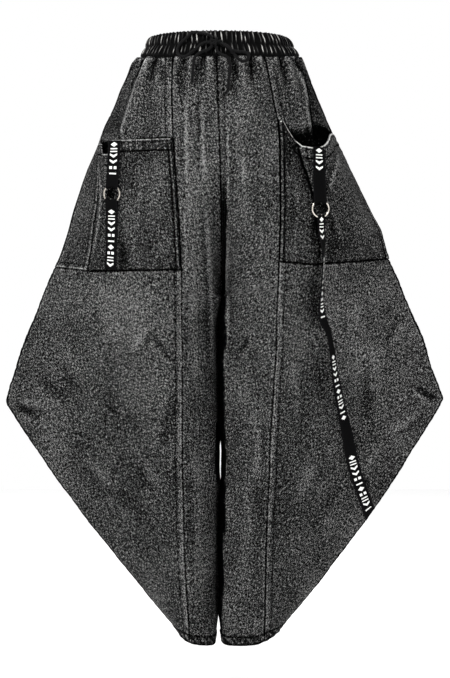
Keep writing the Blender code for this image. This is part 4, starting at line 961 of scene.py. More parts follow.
# ---------------------------------------------------------------- creases
# Millimetres: side, face, x and drop at its start and at its end, how far its middle bows, half width and
# height. A ridge has a valley beside it. x is a distance from the middle, outwards.
CREASES = (
    # the wearer's right, front: below the waistband, down the centre panel, on the wing
    (RIGHT, "front", 87, 20, 83, 66, 3, 4.0, -3.6),
    (RIGHT, "front", 98, 16, 108, 62, 0, 4.5, -2.2),
    (RIGHT, "front", 62, 22, 58, 92, 0, 4.0, -1.6),
    (RIGHT, "front", 33, 24, 36, 74, 0, 4.5, -2.0),
    (RIGHT, "front", 49, 40, 47, 245, 2, 2.2, 0.9),
    (RIGHT, "front", 23, 60, 21, 232, 2, 2.4, 1.1),
    (RIGHT, "front", 21, 225, 9, 520, -3, 2.6, 1.0),
    (RIGHT, "front", 53, 250, 52, 420, -2, 2.2, 0.6),
    (RIGHT, "front", 38, 300, 34, 560, 3, 5.0, 0.8),
    (RIGHT, "front", 41, 600, 30, 850, -3, 5.0, 0.9),
    (RIGHT, "front", 186, 413, 198, 425, 2, 1.6, -1.2),
    (RIGHT, "front", 181, 556, 153, 579, 3, 1.8, -2.2),
    (RIGHT, "front", 104, 449, 64, 499, 3, 1.8, -1.8),
    (RIGHT, "front", 106, 377, 94, 392, -2, 1.5, -1.0),
    (RIGHT, "front", 145, 414, 118, 411, -3, 1.5, 0.9),
    (RIGHT, "front", 231, 602, 210, 614, 2, 1.5, -0.9),
    (RIGHT, "front", 166, 599, 147, 603, -2, 1.4, -1.0),
    (RIGHT, "front", 142, 482, 105, 434, 4, 4.0, 1.3),
    (RIGHT, "front", 120, 380, 96, 360, 3, 2.2, -1.0),
    (RIGHT, "front", 252, 470, 214, 545, -8, 7.0, 1.6),
    (RIGHT, "front", 290, 500, 236, 560, 6, 6.0, -1.8),
    (RIGHT, "front", 330, 548, 262, 566, 4, 5.0, 2.2),
    (RIGHT, "front", 326, 566, 280, 590, -3, 4.0, -1.6),
    (RIGHT, "front", 205, 640, 150, 700, 8, 7.0, 1.5),
    (RIGHT, "front", 175, 690, 110, 760, -8, 8.0, -1.6),
    (RIGHT, "front", 120, 640, 74, 700, 6, 6.0, 1.2),
    (RIGHT, "front", 64, 540, 86, 640, 4, 6.0, -1.2),
    # the wearer's left, front
    (LEFT, "front", 45, 20, 54, 72, 2, 4.2, -3.4),
    (LEFT, "front", 27, 24, 30, 62, 0, 4.0, -1.8),
    (LEFT, "front", 63, 22, 66, 60, 0, 3.6, -1.8),
    (LEFT, "front", 100, 16, 112, 70, -3, 5.0, -2.0),
    (LEFT, "front", 14, 112, 14, 262, 1, 2.4, 1.1),
    (LEFT, "front", 13, 260, 9, 540, 2, 2.8, 1.0),
    (LEFT, "front", 37, 150, 39, 230, 2, 1.8, 0.7),
    (LEFT, "front", 44, 170, 49, 300, -3, 6.0, 0.9),
    (LEFT, "front", 47, 452, 30, 482, 4, 2.4, -0.9),
    (LEFT, "front", 60, 556, 58, 690, 2, 2.0, 0.7),
    (LEFT, "front", 68, 572, 64, 700, -1, 2.0, 0.6),
    (LEFT, "front", 44, 640, 40, 860, 4, 7.0, 1.1),
    (LEFT, "front", 146, 352, 158, 456, 3, 7.0, -2.6),
    (LEFT, "front", 156, 450, 182, 612, -4, 8.0, -3.0),
    (LEFT, "front", 206, 380, 216, 470, 6, 9.0, 1.4),
    (LEFT, "front", 231, 500, 236, 592, 5, 8.0, -3.4),
    (LEFT, "front", 262, 470, 246, 560, -7, 8.0, 2.0),
    (LEFT, "front", 318, 529, 355, 556, -3, 2.6, -2.6),
    (LEFT, "front", 304, 534, 346, 566, -3, 3.0, 1.8),
    (LEFT, "front", 330, 562, 268, 610, 5, 5.0, 1.8),
    (LEFT, "front", 262, 620, 206, 690, 7, 7.0, 1.6),
    (LEFT, "front", 196, 690, 142, 780, -6, 8.0, -1.6),
    (LEFT, "front", 152, 640, 118, 720, 5, 6.0, 1.3),
    (LEFT, "front", 110, 470, 124, 600, 4, 6.0, 1.0),
    (LEFT, "front", 286, 420, 262, 470, 4, 3.6, -1.3),
    # both backs: gathers, the seat, behind the knees
    (RIGHT, "back", 80, 20, 84, 70, 2, 4.2, -3.2),
    (RIGHT, "back", 34, 22, 30, 64, 0, 4.0, -2.2),
    (RIGHT, "back", 60, 22, 66, 90, 2, 4.0, -1.8),
    (RIGHT, "back", 22, 330, 96, 262, 8, 5.0, -2.4),
    (RIGHT, "back", 26, 350, 110, 300, 7, 4.0, 1.8),
    (RIGHT, "back", 30, 372, 80, 352, 5, 3.4, -1.6),
    (RIGHT, "back", 70, 500, 20, 530, -5, 5.0, -2.2),
    (RIGHT, "back", 76, 540, 24, 562, 4, 4.6, 1.8),
    (RIGHT, "back", 64, 585, 30, 600, 4, 4.0, -1.6),
    (RIGHT, "back", 210, 400, 150, 520, 8, 8.0, 2.2),
    (RIGHT, "back", 300, 520, 220, 590, 6, 7.0, -2.4),
    (RIGHT, "back", 180, 560, 120, 680, -6, 8.0, -2.2),
    (RIGHT, "back", 140, 380, 116, 470, 5, 6.0, 1.6),
    (RIGHT, "back", 150, 700, 90, 790, 6, 7.0, 1.6),
    (LEFT, "back", 72, 20, 76, 62, 2, 4.0, -3.0),
    (LEFT, "back", 28, 22, 34, 70, 0, 4.0, -2.4),
    (LEFT, "back", 96, 16, 104, 60, 2, 5.0, -2.0),
    (LEFT, "back", 20, 322, 88, 270, 7, 5.0, -2.2),
    (LEFT, "back", 28, 346, 104, 310, 6, 4.2, 1.7),
    (LEFT, "back", 34, 380, 90, 366, 4, 3.4, -1.4),
    (LEFT, "back", 82, 490, 26, 520, -5, 5.0, -2.0),
    (LEFT, "back", 88, 532, 30, 556, 4, 4.6, 1.7),
    (LEFT, "back", 240, 410, 170, 540, 8, 8.0, 2.2),
    (LEFT, "back", 320, 540, 244, 600, -5, 7.0, -2.4),
    (LEFT, "back", 200, 600, 140, 720, 7, 8.0, 2.0),
    (LEFT, "back", 160, 420, 130, 520, -5, 6.0, -1.6),
    (LEFT, "back", 120, 760, 96, 860, 4, 6.0, 1.2),
)
# Small creases left by washing, scattered over each face: how many, and the spread of their sizes in mm.
WASH_CREASES = 46
WASH_LENGTHS = (10, 46)
WASH_HEIGHTS = (0.25, 0.65)
WASH_WIDTHS = (1.2, 2.2)

# Broad places of painted light and painted shade. side, face, x, drop, reach across, reach down, how pale
SHADES = (
    (RIGHT, "front", 0.150, 0.420, 0.050, 0.060, 0.30),
    (RIGHT, "front", 0.110, 0.395, 0.030, 0.050, 0.20),
    (RIGHT, "front", 0.240, 0.460, 0.040, 0.060, -0.12),
    (RIGHT, "front", 0.110, 0.620, 0.060, 0.060, -0.15),
    (RIGHT, "front", 0.110, 0.760, 0.060, 0.090, -0.22),
    (RIGHT, "front", 0.140, 0.080, 0.030, 0.060, 0.18),
    (RIGHT, "front", 0.040, 0.220, 0.025, 0.120, 0.20),
    (RIGHT, "front", 0.020, 0.500, 0.016, 0.140, -0.15),
    (RIGHT, "front", 0.150, 0.230, 0.030, 0.050, 0.05),
    (LEFT, "front", 0.040, 0.160, 0.030, 0.100, 0.12),
    (LEFT, "front", 0.050, 0.330, 0.030, 0.080, 0.08),
    (LEFT, "front", 0.270, 0.460, 0.040, 0.060, 0.16),
    (LEFT, "front", 0.215, 0.400, 0.030, 0.060, 0.06),
    (LEFT, "front", 0.130, 0.560, 0.050, 0.080, -0.15),
    (LEFT, "front", 0.234, 0.560, 0.014, 0.040, -0.30),
    (LEFT, "front", 0.200, 0.680, 0.070, 0.080, -0.12),
    (LEFT, "front", 0.150, 0.400, 0.012, 0.080, -0.30),
    (LEFT, "front", 0.110, 0.085, 0.040, 0.050, -0.40),
    (LEFT, "front", 0.060, 0.720, 0.060, 0.120, -0.22),
    (RIGHT, "front", 0.140, 0.250, 0.060, 0.080, -0.36),
    (LEFT, "front", 0.040, 0.330, 0.040, 0.140, -0.10),
    (LEFT, "front", 0.060, 0.700, 0.120, 0.200, -0.12),
    (RIGHT, "front", 0.160, 0.700, 0.090, 0.140, -0.14),
    (RIGHT, "back", 0.060, 0.200, 0.060, 0.080, 0.22),
    (LEFT, "back", 0.060, 0.200, 0.060, 0.080, 0.22),
    (RIGHT, "back", 0.170, 0.450, 0.060, 0.080, 0.14),
    (LEFT, "back", 0.180, 0.450, 0.060, 0.080, 0.14),
)

LEG_SHADOW_TOP = {"front": 0.19, "back": 0.36}  # the drop where the shadow beside the middle begins
# The right edge of the black shadow beside the middle, in millimetres: drop, x
LEG_SHADOW_EDGE = (
    (200, 12.8), (399, 12.8), (476, 10.0), (553, 7.7), (599, 10.8), (672, 10.8), (728, 11.6), (781, 7.7),
    (860, 7.0), (901, 5.4),
)
# The fold down each hip, in millimetres: x and drop all along it, how dark the painted shade in its groove
# is, and the painted shade outside it
HIP_FOLDS = {
    RIGHT: {
        "line": ((112.5, 23.6), (130.0, 54.1), (140.8, 93.1), (149.5, 127.7), (152.6, 149.4)),
        "groove": 0.9,
        "shade": 0.75,
    },
    LEFT: {
        "line": ((116.0, 20.5), (136.4, 62.6), (141.0, 103.4), (145.5, 135.0), (152.0, 160.0)),
        "groove": 1.9,
        "shade": 0.65,
    },
}


def scattered_creases():
    """The small creases, as rows like those of the table."""
    rng = np.random.default_rng(11)
    rows = []
    for side in (RIGHT, LEFT):
        for face in ("front", "back"):
            for _ in range(WASH_CREASES):
                drop = rng.uniform(110, 860)
                outer = TO_MM * read(OUTLINE[side], drop / TO_MM)
                x = rng.uniform(0.12, 0.93) * outer
                turn, length = rng.uniform(0, np.pi), rng.uniform(*WASH_LENGTHS)
                bend, half_width = rng.uniform(-4, 4), rng.uniform(*WASH_WIDTHS)
                height = rng.choice((-1, 1)) * rng.uniform(*WASH_HEIGHTS)
                end = (x + length * math.cos(turn), drop + length * math.sin(turn))
                rows.append((side, face, x, drop, *end, bend, half_width, height))
    return rows


ALL_CREASES = list(CREASES) + scattered_creases()
CREASE_TONE = 1.1
TONED_HEIGHTS = (-1.3, 1.2)  # mm, past which a crease's tone grows no more
SHARP_WIDTH = 2.4  # mm, past which a wider crease has less tone


def crease_height(side, x, y, drop):
    """What the creases add to the cloth's height and to its tone. Sharp ridges are worn paler, and grooves
    and the valley beside each ridge get painted shade.
    """
    lift, tone = np.zeros_like(x), np.zeros_like(x)
    x_mm, drop_mm = TO_MM * x * side, TO_MM * drop
    faces = {"front": y < 0, "back": y > 0}
    for of_side, face, x0, drop0, x1, drop1, bend, half_width, height in ALL_CREASES:
        if of_side != side:
            continue
        reach = 6 * half_width + abs(bend)
        near = (
            faces[face]
            & (x_mm > min(x0, x1) - reach) & (x_mm < max(x0, x1) + reach)
            & (drop_mm > min(drop0, drop1) - reach) & (drop_mm < max(drop0, drop1) + reach)
        )
        if not near.any():
            continue
        along, across = from_line(x_mm[near], drop_mm[near], (x0, drop0), (x1, drop1))
        across = across - bend * 4 * along * (1 - along)
        ends = swell(along, 0, 0.3) * (1 - swell(along, 0.7, 1))
        profile = bell(across, half_width) - 0.5 * bell(across - 2.0 * half_width, 1.2 * half_width)
        lift[near] += MM * height * ends * profile
        # Ridges are worn paler; grooves and the valleys beside ridges are painted darker, as shade.
        wear_and_painted_light = CREASE_TONE * np.clip(height, *TONED_HEIGHTS) * min(1, SHARP_WIDTH / half_width)
        tone[near] += wear_and_painted_light * ends * profile
    return lift, tone


# ---------------------------------------------------------------- the pockets' sizes
# span: the shares across the side panel between which the pocket lies.
# mouth: share across the side panel, drop of the mouth's edge.
# shadow: share, how far up the panel behind the mouth is in shade.
# gape: share where the mouth stands out most, share it takes to close, how far, and how far down it fades.
# folds: share and drop at both ends, then half width and height in millimetres.
POCKETS = {
    RIGHT: {
        "span": (0.030, 0.985),
        "mouth": ((0.0, 0.150), (0.640, 0.150), (0.655, 0.168), (0.70, 0.1715), (0.79, 0.171), (0.84, 0.153),
                  (1.0, 0.150)),
        "shadow": ((0.0, 0.003), (0.630, 0.003), (0.655, 0.022), (0.79, 0.024), (0.84, 0.006), (1.0, 0.003)),
        "gape": (0.70, 0.22, 0.010, 0.050),
        "folds": (
            (0.16, 0.170, 0.20, 0.330, 9.0, 1.2),
            (0.34, 0.180, 0.30, 0.300, 10.0, 1.0),
            (0.10, 0.300, 0.26, 0.335, 5.0, 1.0),
            (0.62, 0.200, 0.56, 0.330, 7.0, 1.0),
            (0.86, 0.180, 0.90, 0.320, 6.0, 0.9),
        ),
    },
    LEFT: {
        "span": (0.008, 0.985),
        "mouth": ((0.0, 0.1225), (0.045, 0.1215), (0.10, 0.137), (0.16, 0.152), (0.23, 0.161), (0.36, 0.163),
                  (0.46, 0.161), (0.52, 0.157), (0.60, 0.150), (0.75, 0.139), (0.875, 0.1345), (1.0, 0.134)),
        "shadow": ((0.0, 0.002), (0.06, 0.004), (0.12, 0.018), (0.22, 0.032), (0.45, 0.040), (0.62, 0.034),
                   (0.80, 0.018), (0.95, 0.005), (1.0, 0.003)),
        "gape": (0.42, 0.34, 0.013, 0.085),
        "folds": (
            (0.30, 0.185, 0.52, 0.315, 6.0, -1.2),
            (0.88, 0.160, 0.74, 0.300, 6.0, 1.2),
            (0.84, 0.245, 0.92, 0.330, 5.0, 1.2),
            (0.66, 0.270, 0.74, 0.332, 4.0, 1.0),
            (0.34, 0.290, 0.36, 0.332, 4.0, 0.9),
        ),
    },
}

# ---------------------------------------------------------------- the cloth's small forms
SEAM_LAP = 0.0008  # how far a felled seam stands up
LAPS = {"long": 0.0105, "centre": 0.0085, "side": 0.0085, "thigh": 0.0075}
# the seams at the start and the end of each panel's rows
SEAMS_OF = {
    "front_centre": ("centre", "long"),
    "back_centre": ("long", "centre"),
    "front_side": ("long", "side"),
    "back_side": ("side", "long"),
    "front_wing": ("long", "edge"),
    "back_wing": ("edge", "long"),
}
PUCKER = 0.00045  # height of the puckers beside a seam
PUCKER_REACH = 0.010  # how far from the seam they fade
WORN_INSET = 0.0026  # from a seam to the pale worn line beside it
HEM_ROPE = 0.0105  # from one twist of the roped hem to the next
RIM_SHADE = 2.6  # how dark the painted shade along the garment's edge is
RIM_FADE = (0.0020, 0.0032)  # how far in from the edge it fades
GATHER_SHIFT = {"centre": 0.028, "side": -0.022}
SEEDS = {"long": 3, "centre": 5, "side": 7, "thigh": 9, "edge": 13}


def is_lapped(seam, side, panel):
    """Whether this panel lies on top at a felled seam."""
    face, kind = panel.split("_")
    if seam == "long":
        return kind != "centre"
    if seam == "centre":
        return side == LEFT
    if seam == "side":
        return face == "back"
    return seam == "thigh" and kind == "side"


def seam_detail(seam, lapped, distance, along):
    """Height and tone beside one seam."""
    rope = wander(along, SEEDS[seam], 0.011)
    near = line_at(distance, 0.0, PUCKER_REACH)
    height = PUCKER * rope * near
    tone = 0.30 * rope * near
    # At the garment's outer edge a dark line is painted as shade.
    if seam == "edge":
        return height, tone - 1.6 * line_at(distance, 0.0, 0.0040)
    patchy = 0.70 + 0.30 * wander(along, SEEDS[seam] + 1, 0.017)
    if seam == "centre":
        patchy, tone = 0.35 * patchy, 0.5 * tone
    if lapped:
        width = LAPS[seam]
        height += SEAM_LAP * swell(distance, 0, 0.0012) * (1 - swell(distance, width, width + 0.0015))
        height -= 0.0004 * (line_at(distance, 0.0022, 0.0009) + line_at(distance, width - 0.0022, 0.0009))
        # A dark line painted as shade in the seam's groove, pale worn lines along the lap, and painted shade
        # at the lap's far edge.
        tone -= 2.3 * line_at(distance, 0.0, 0.0010)
        pale = 2.0 * line_at(distance, WORN_INSET, 0.0011) + 0.9 * line_at(distance, width - 0.0042, 0.0011)
        tone += patchy * pale
        tone -= 1.0 * line_at(distance, width + 0.0008, 0.0012)
    else:
        height -= 0.0008 * line_at(distance, 0.0, 0.0014)
        # A dark line painted as shade in the seam's groove, and a pale worn line beside it.
        tone -= 1.5 * line_at(distance, 0.0, 0.0010)
        tone += 0.55 * patchy * line_at(distance, WORN_INSET, 0.0013)
    return height, tone


def shade_tone(side, x, y, drop):
    """How much paler or darker the broad places of painted light and shade make the cloth."""
    tone = np.zeros_like(x)
    for of_side, face, at_x, at_drop, reach_x, reach_drop, pale in SHADES:
        if of_side == side:
            here = y < 0 if face == "front" else y > 0
            tone += here * pale * spot(x * side - at_x, drop - at_drop, reach_x, reach_drop)
    return tone


def hip_folds(side, x, drop):
    """Height and tone of the fold down each hip: a pale ridge, painted shade in the groove outside it, and
    painted shade beyond.
    """
    line = np.array(HIP_FOLDS[side]["line"])
    across = (TO_MM * x * side - np.interp(TO_MM * drop, line[:, 1], line[:, 0])) * 0.9
    fade = 1 - swell(TO_MM * drop, line[-1, 1] - 25, line[-1, 1])
    tone = 1.2 * line_at(across, -1.0, 1.8) - HIP_FOLDS[side]["groove"] * line_at(across, 3.6, 1.9)
    tone -= HIP_FOLDS[side]["shade"] * swell(across, 2.0, 6.0)
    lift = 0.0010 * line_at(across, -1.0, 3.5) - 0.0016 * line_at(across, 5.0, 3.5)
    return lift * fade, tone * fade


def between_legs(side, face, x, drop):
    """How much darker the centre panels are in the shadow beside the middle seam and between the legs."""
    first = LEG_SHADOW_TOP[face]
    depth = swell(drop, first, first + 0.08)
    edge = np.interp(TO_MM * drop, *np.array(LEG_SHADOW_EDGE).T) / TO_MM
    if side == LEFT:
        return 2.8 * depth * (1 - swell(x - edge, -0.0008, 0.0008))
    middle = np.interp(drop, (CROTCH - 0.03, CROTCH + 0.04), (0.0056, -0.0010))
    beside_slit = swell(drop, 0.585, 0.600) * (1 - swell(drop, 0.670, 0.700))
    broad = 0.35 * swell(x, middle - 0.026, middle - 0.002)
    return depth * (broad + 1.8 * beside_slit * swell(x, -0.0045, -0.0030))


def cloth_detail(side, panel, u, drop, f, start, end):
    """Height and tone of the small forms on a panel. start, end: distances to the seams at its two ends."""
    face, kind = panel.split("_")
    base = cloth_point(side, u, drop, np.zeros_like(u))
    x, y = base[..., 0], base[..., 1]
    broad = 0.0009 * soft_waves(base, 21, 0.11) + 0.0004 * soft_waves(base, 22, 0.045)
    crease, tone = crease_height(side, x, y, drop)
    height = crease + broad
    tone = np.clip(tone, -1.0, 0.8) + 0.06 * soft_waves(base, 23, 0.16)
    tone += shade_tone(side, x, y, drop)
    top = drop - read(TOP_EDGE, u)
    if kind in GATHERS:
        warped = f + GATHER_SHIFT[kind] * np.sin(2 * np.pi * f)
        gathers = gather_height(kind, warped, drop)
        height += gathers
        crest = gathers / GATHER_DEPTH
        # Painted light on the gathers' crests, brightest just under the waistband, and painted shade in their
        # valleys.
        tone += 0.40 * crest + 0.7 * np.clip(crest, 0, 1) * line_at(top, 0.005, 0.004)
        tight = 1 - swell(top, 0.004, 0.042)
        small = wander(u * 0.19 + 0.02 * drop, 31, 0.0105)
        height += 0.0008 * small * tight
        # The small wrinkles are painted paler where they rise; the gathers' valleys and the cloth right under
        # the band get painted shade.
        valley = np.clip(-crest - 0.1, 0, 1)
        tone += 0.40 * small * tight - 0.9 * valley * tight - 0.5 * (1 - swell(top, 0.0, 0.003))
    for seam, distance in zip(SEAMS_OF[panel], (start, end), strict=True):
        if seam == "centre" and face == "front":
            distance = np.where(drop > CROTCH - 0.03, distance + 10 * (drop - CROTCH + 0.03), distance)
        more, shade = seam_detail(seam, is_lapped(seam, side, panel), distance, drop)
        height, tone = height + more, tone + shade
    if kind == "centre":
        tone -= between_legs(side, face, x, drop)
    # Painted shade along the garment's outer edge, where the cloth turns away, with a pale line just inside
    # it.
    rim = np.interp(drop, *np.array(OUTLINE[side]).T) - side * x
    painted_rim_shade = RIM_SHADE * (1 - swell(rim, *RIM_FADE)) * swell(top, 0.01, 0.03)
    tone += 0.40 * line_at(rim, 0.0048, 0.0012) - painted_rim_shade
    if face == "front" and kind != "wing":
        more, shade = hip_folds(side, x, drop)
        height, tone = height + more, tone + shade
    # Painted shade on the back side panel's strip that shows from the front, and along its edge.
    if panel == "back_side":
        shaded = 1.0 if side == LEFT else 1 - 0.8 * swell(drop, 0.110, 0.170)
        tone -= 0.75 * shaded * (1 - swell(u, 0.99, 1.03)) + 0.8 * line_at(u, 1.0, 0.020)
    if panel == "front_side":
        above = read(POCKETS[side]["mouth"], f) - drop
        reach = read(POCKETS[side]["shadow"], f)
        tone -= 2.2 * (1 - swell(above, 0.45 * reach, reach))
    if kind != "centre":
        thigh = np.abs(drop - read(THIGH_SEAM[side], u))
        more, shade = seam_detail("thigh", kind == "side", thigh, x)
        height, tone = height + more, tone + shade
    if kind != "side":
        above = read(HEM[side], u) - drop
        in_hem = 1 - swell(above, HEM_HEIGHT - 0.001, HEM_HEIGHT + 0.001)
        rope = np.sin(2 * np.pi * (x + 0.7 * above) / HEM_ROPE + 1.3 * wander(x, 41, 0.03))
        height += in_hem * (0.0008 + 0.0005 * rope)
        edges = 2.0 * line_at(above, 0.0, 0.0034) + 1.6 * line_at(above, HEM_HEIGHT, 0.0015)
        tone += in_hem * (0.95 * rope - 0.45) - edges
        tone += 0.35 * line_at(above, 0.004, 0.002)
    return height, tone


# ---------------------------------------------------------------- denim panels
FINE = 0.0032  # between the rows of a panel, away from its seams
EDGE_STEPS = np.array((0.0, 0.0008, 0.0016, 0.0026, 0.0038, 0.0052, 0.0068, 0.0084, 0.0098, 0.0112, 0.0132))
PANELS = {
    "front_centre": ("front centre", "long"),
    "back_centre": ("back long", "back centre"),
    "front_side": ("long", "side"),
    "back_side": ("side", "back long"),
    "front_wing": ("long", "edge"),
    "back_wing": ("edge", "back long"),
}
COLUMNS = {"centre": 45, "side": 60, "wing": 84}
SEAM_CLOSING = 0.0004  # shuts the hair's breadth between the two sides above the crotch
UPPER_LENGTH = 0.335  # about, from the waistband to the seam across the thigh
LOWER_LENGTH = 0.592  # about, from there to the hem
SEAM_Q = SEAM_GAP / 2 / 0.35


def rows_of(kind):
    """q of each row, closer together beside the seams and in the hem."""
    upper = EDGE_STEPS / UPPER_LENGTH
    lower = EDGE_STEPS / LOWER_LENGTH
    upper_count, lower_count = int(UPPER_LENGTH / FINE), int(LOWER_LENGTH / FINE)
    top = np.concatenate([upper, np.linspace(upper[-1], 1 - upper[-1], upper_count)[1:-1], 1 - upper[::-1]])
    hem = 2 - np.arange(0, HEM_HEIGHT + 0.006, 0.0015)[::-1] / LOWER_LENGTH
    low = np.concatenate([1 + lower, np.linspace(1 + lower[-1], hem[0], lower_count)[1:-1], hem])
    if kind == "side":
        return np.clip(top, 0, 1 - SEAM_Q)
    if kind == "wing":
        return np.clip(low, 1 + SEAM_Q, 2)
    return np.concatenate([top[:-1], low])


def columns_of(kind, width):
    """Distances across a row, closer together beside the seams."""
    squeeze = min(1, width / (4 * EDGE_STEPS[-1]))
    edge = EDGE_STEPS * squeeze
    middle = np.linspace(edge[-1], width - edge[-1], COLUMNS[kind] - 2 * len(edge) + 2)[1:-1]
    return np.concatenate([edge, middle, width - edge[::-1]])


def panel_grid(side, panel):
    """u, drop, f and the distances to the two end seams, over a panel."""
    kind = panel.split("_")[1]
    start, end = PANELS[panel]
    rows = []
    for q in rows_of(kind):
        first, last = seam_u(side, start, q), seam_u(side, end, q)
        u = np.linspace(first, last, 41)
        line = cloth_point(side, u, drop_at(side, u, q), np.zeros_like(u))
        along = distances(line)
        width = along[-1]
        across = columns_of(kind, width) * (1 - SEAM_GAP / width) + SEAM_GAP / 2
        row_u = np.interp(across, along, u)
        drop = drop_at(side, row_u, q) + (BAND_GAP if q <= 0 else 0.0)
        rows.append((row_u, drop, (row_u - first) / (last - first), across, width - across))
    return [np.array(column) for column in zip(*rows)]


def add_panel(side, panel):
    """One denim panel, and what its stitches need to know of it."""
    name = f"{panel}_{SIDE_NAMES[side]}"
    u, drop, f, start, end = panel_grid(side, panel)
    height, tone = cloth_detail(side, panel, u, drop, f, start, end)
    outer = cloth_point(side, u, drop, height)
    inner = cloth_point(side, u, drop, height - DENIM)
    if panel.endswith("centre"):
        column = 0 if panel == "front_centre" else -1
        closed = side * SEAM_CLOSING * (1 - swell(drop[:, column], CROTCH - 0.012, CROTCH - 0.002))
        outer[:, column, 0] -= closed
        inner[:, column, 0] -= closed
    uv = np.stack([start + 0.31 * list(PANELS).index(panel) + 0.17 * side, drop], axis=-1)
    piece = shell(f"{name}_cloth", outer, inner, tone, uv, DENIM_CLOTH)
    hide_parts(name)
    return {
        "piece": piece, "outer": outer, "inner": inner, "start": start, "end": end,
        "to_thigh": read(THIGH_SEAM[side], u) - drop, "above_hem": read(HEM[side], u) - drop,
    }


CLOTH_PIECES = {(side, panel): add_panel(side, panel) for side in (RIGHT, LEFT) for panel in PANELS}

# ---------------------------------------------------------------- waistband
RIDGES = 46  # a side
RIDGE_COLUMNS = 10
RIDGE_HEIGHT = 0.0016
CHANNEL_BULGE = 0.0025
BAND_ROWS = 24


def band_drop(u, share):
    """The drop at a share of the way down the waistband."""
    return BAND_TOP + (read(TOP_EDGE, u) - BAND_TOP) * share


def ridge_profile(along, share, channel):
    """Height of the ruching, -1 to 1, and the strength of the highlight painted along its crest, 0 to 1, at a
    place round the waist.

    Ridges lean, fork and die out.
    """
    upper = channel == 0
    sway = 0.22 * np.sin(2 * np.pi * along / 9.7 + 2.1 * channel)
    bent = along + sway + 0.16 * wander(along, 61 + channel, 3.1)
    bent += (0.25 if upper else -0.20) * (share - 0.5) * np.sin(1.7 * np.floor(along / 3.0))
    wave = np.cos(2 * np.pi * bent)
    fine = np.cos(2 * np.pi * 1.93 * bent + 1.1 * channel)
    sharp = np.sign(wave) * np.abs(wave) ** 0.7
    depth = 0.75 + 0.25 * wander(along, 71 + channel, 2.3)
    crest = np.clip((wave - 0.62) / 0.25, 0, 1) ** 1.3
    return np.clip((0.85 * sharp + 0.30 * fine) * depth, -1, 1), crest


def add_waistband():
    """The ruched band: one closed ring of cloth, in two channels."""
    side_count = RIDGES * RIDGE_COLUMNS
    u = (np.arange(side_count) + 0.5) * 2 / side_count
    outer, inner, tones, places = [], [], [], []
    for share in np.linspace(0, 1, BAND_ROWS):
        channel = int(share >= 0.5)
        in_channel = 2 * share - channel
        bulge = math.sin(math.pi * in_channel) ** 0.6
        row_outer, row_inner, row_tone, row_place = [], [], [], []
        for side in (RIGHT, LEFT):
            along = np.arange(side_count) / RIDGE_COLUMNS
            along = along if side == RIGHT else 2 * RIDGES - along
            profile, crest = ridge_profile(along, in_channel, channel)
            out = CHANNEL_BULGE * bulge - 0.0005 + (0.25 + 0.75 * bulge) * RIDGE_HEIGHT * profile
            drop = band_drop(u, share) - 0.0009 * (1 - share) ** 2 * profile
            points = cloth_point(side, u, drop, out)
            inside = cloth_point(side, u, drop, np.full_like(u, -0.0012 - BAND))
            # The highlight painted along each crest is strongest where the channel bulges out, breaks up
            # along the ridge, and fades into painted shade at the foot of the lower channel.
            crest *= 0.30 + 0.70 * bulge
            crest *= np.clip(0.78 + 0.55 * wander(along + 0.8 * in_channel, 81 + channel, 2.3), 0, 1)
            crest *= 1 - 0.85 * swell(in_channel, 0.6, 0.95) if channel else 1
            tone = 0.10 + 0.98 * crest
            order = slice(None) if side == RIGHT else slice(None, None, -1)
            row_outer.append(points[order])
            row_inner.append(inside[order])
            row_tone.append(tone[order])
            row_place.append(np.stack([along[order] * 0.0072, drop[order]], axis=-1))
        outer.append(np.concatenate(row_outer))
        inner.append(np.concatenate(row_inner))
        tones.append(np.concatenate(row_tone))
        places.append(np.concatenate(row_place))
    outer, inner = np.array(outer), np.array(inner)
    count = outer.shape[1]
    front = np.arange(BAND_ROWS * count).reshape(BAND_ROWS, count)
    back = front + BAND_ROWS * count
    front, back = (np.concatenate([numbers, numbers[:, :1]], axis=1) for numbers in (front, back))
    faces = grid_faces(front) + grid_faces(back[:, ::-1])
    faces += grid_faces(np.stack([back[0], front[0]])) + grid_faces(np.stack([front[-1], back[-1]]))
    points = np.concatenate([outer.reshape(-1, 3), inner.reshape(-1, 3)])
    tone = np.concatenate([np.array(tones).ravel(), np.zeros(inner.size // 3)])
    uv = np.tile(np.array(places).reshape(-1, 2), (2, 1))
    piece = add_mesh("waistband_cloth", points, faces, ELASTIC, tone, uv)
    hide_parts("waistband")


add_waistband()

# ---------------------------------------------------------------- pockets
POCKET_BAND = 0.018
POCKET_HEM_RISE = 0.0008
# Sharp folds on the pockets, in millimetres: a groove gets painted shade with a painted highlight outside it,
# a ridge a painted highlight with painted shade beside it.
# side, groove or ridge, strength, half width, then x and drop all along it
POCKET_LINES = (
    (LEFT, "groove", 1.0, 1.2, (112.9, 151), (126.8, 194.3), (138.7, 227.8), (146.3, 249.9)),
    (LEFT, "groove", 0.8, 1.2, (149.0, 262), (151.6, 290.2), (155.4, 313.4), (153.9, 337)),
    (LEFT, "ridge", 0.9, 2.2, (180.2, 166.4), (173.2, 200.4), (167.0, 231.4)),
    (LEFT, "ridge", 0.5, 3.6, (170.1, 243.8), (182.5, 274.7), (193.3, 305.7)),
    (LEFT, "ridge", 0.4, 1.6, (103.0, 180.0), (106.0, 215.0), (108.0, 250.0)),
    (LEFT, "ridge", 0.4, 2.4, (118.0, 215.0), (121.0, 250.0), (118.0, 300.0)),
    (RIGHT, "ridge", 0.9, 1.8, (185.7, 174.0), (181.0, 228.3), (182.6, 267.0), (190.3, 305.6), (199.6, 338)),
    (RIGHT, "ridge", 0.3, 3.0, (120.0, 190.0), (118.0, 230.0), (124.0, 290.0)),
)
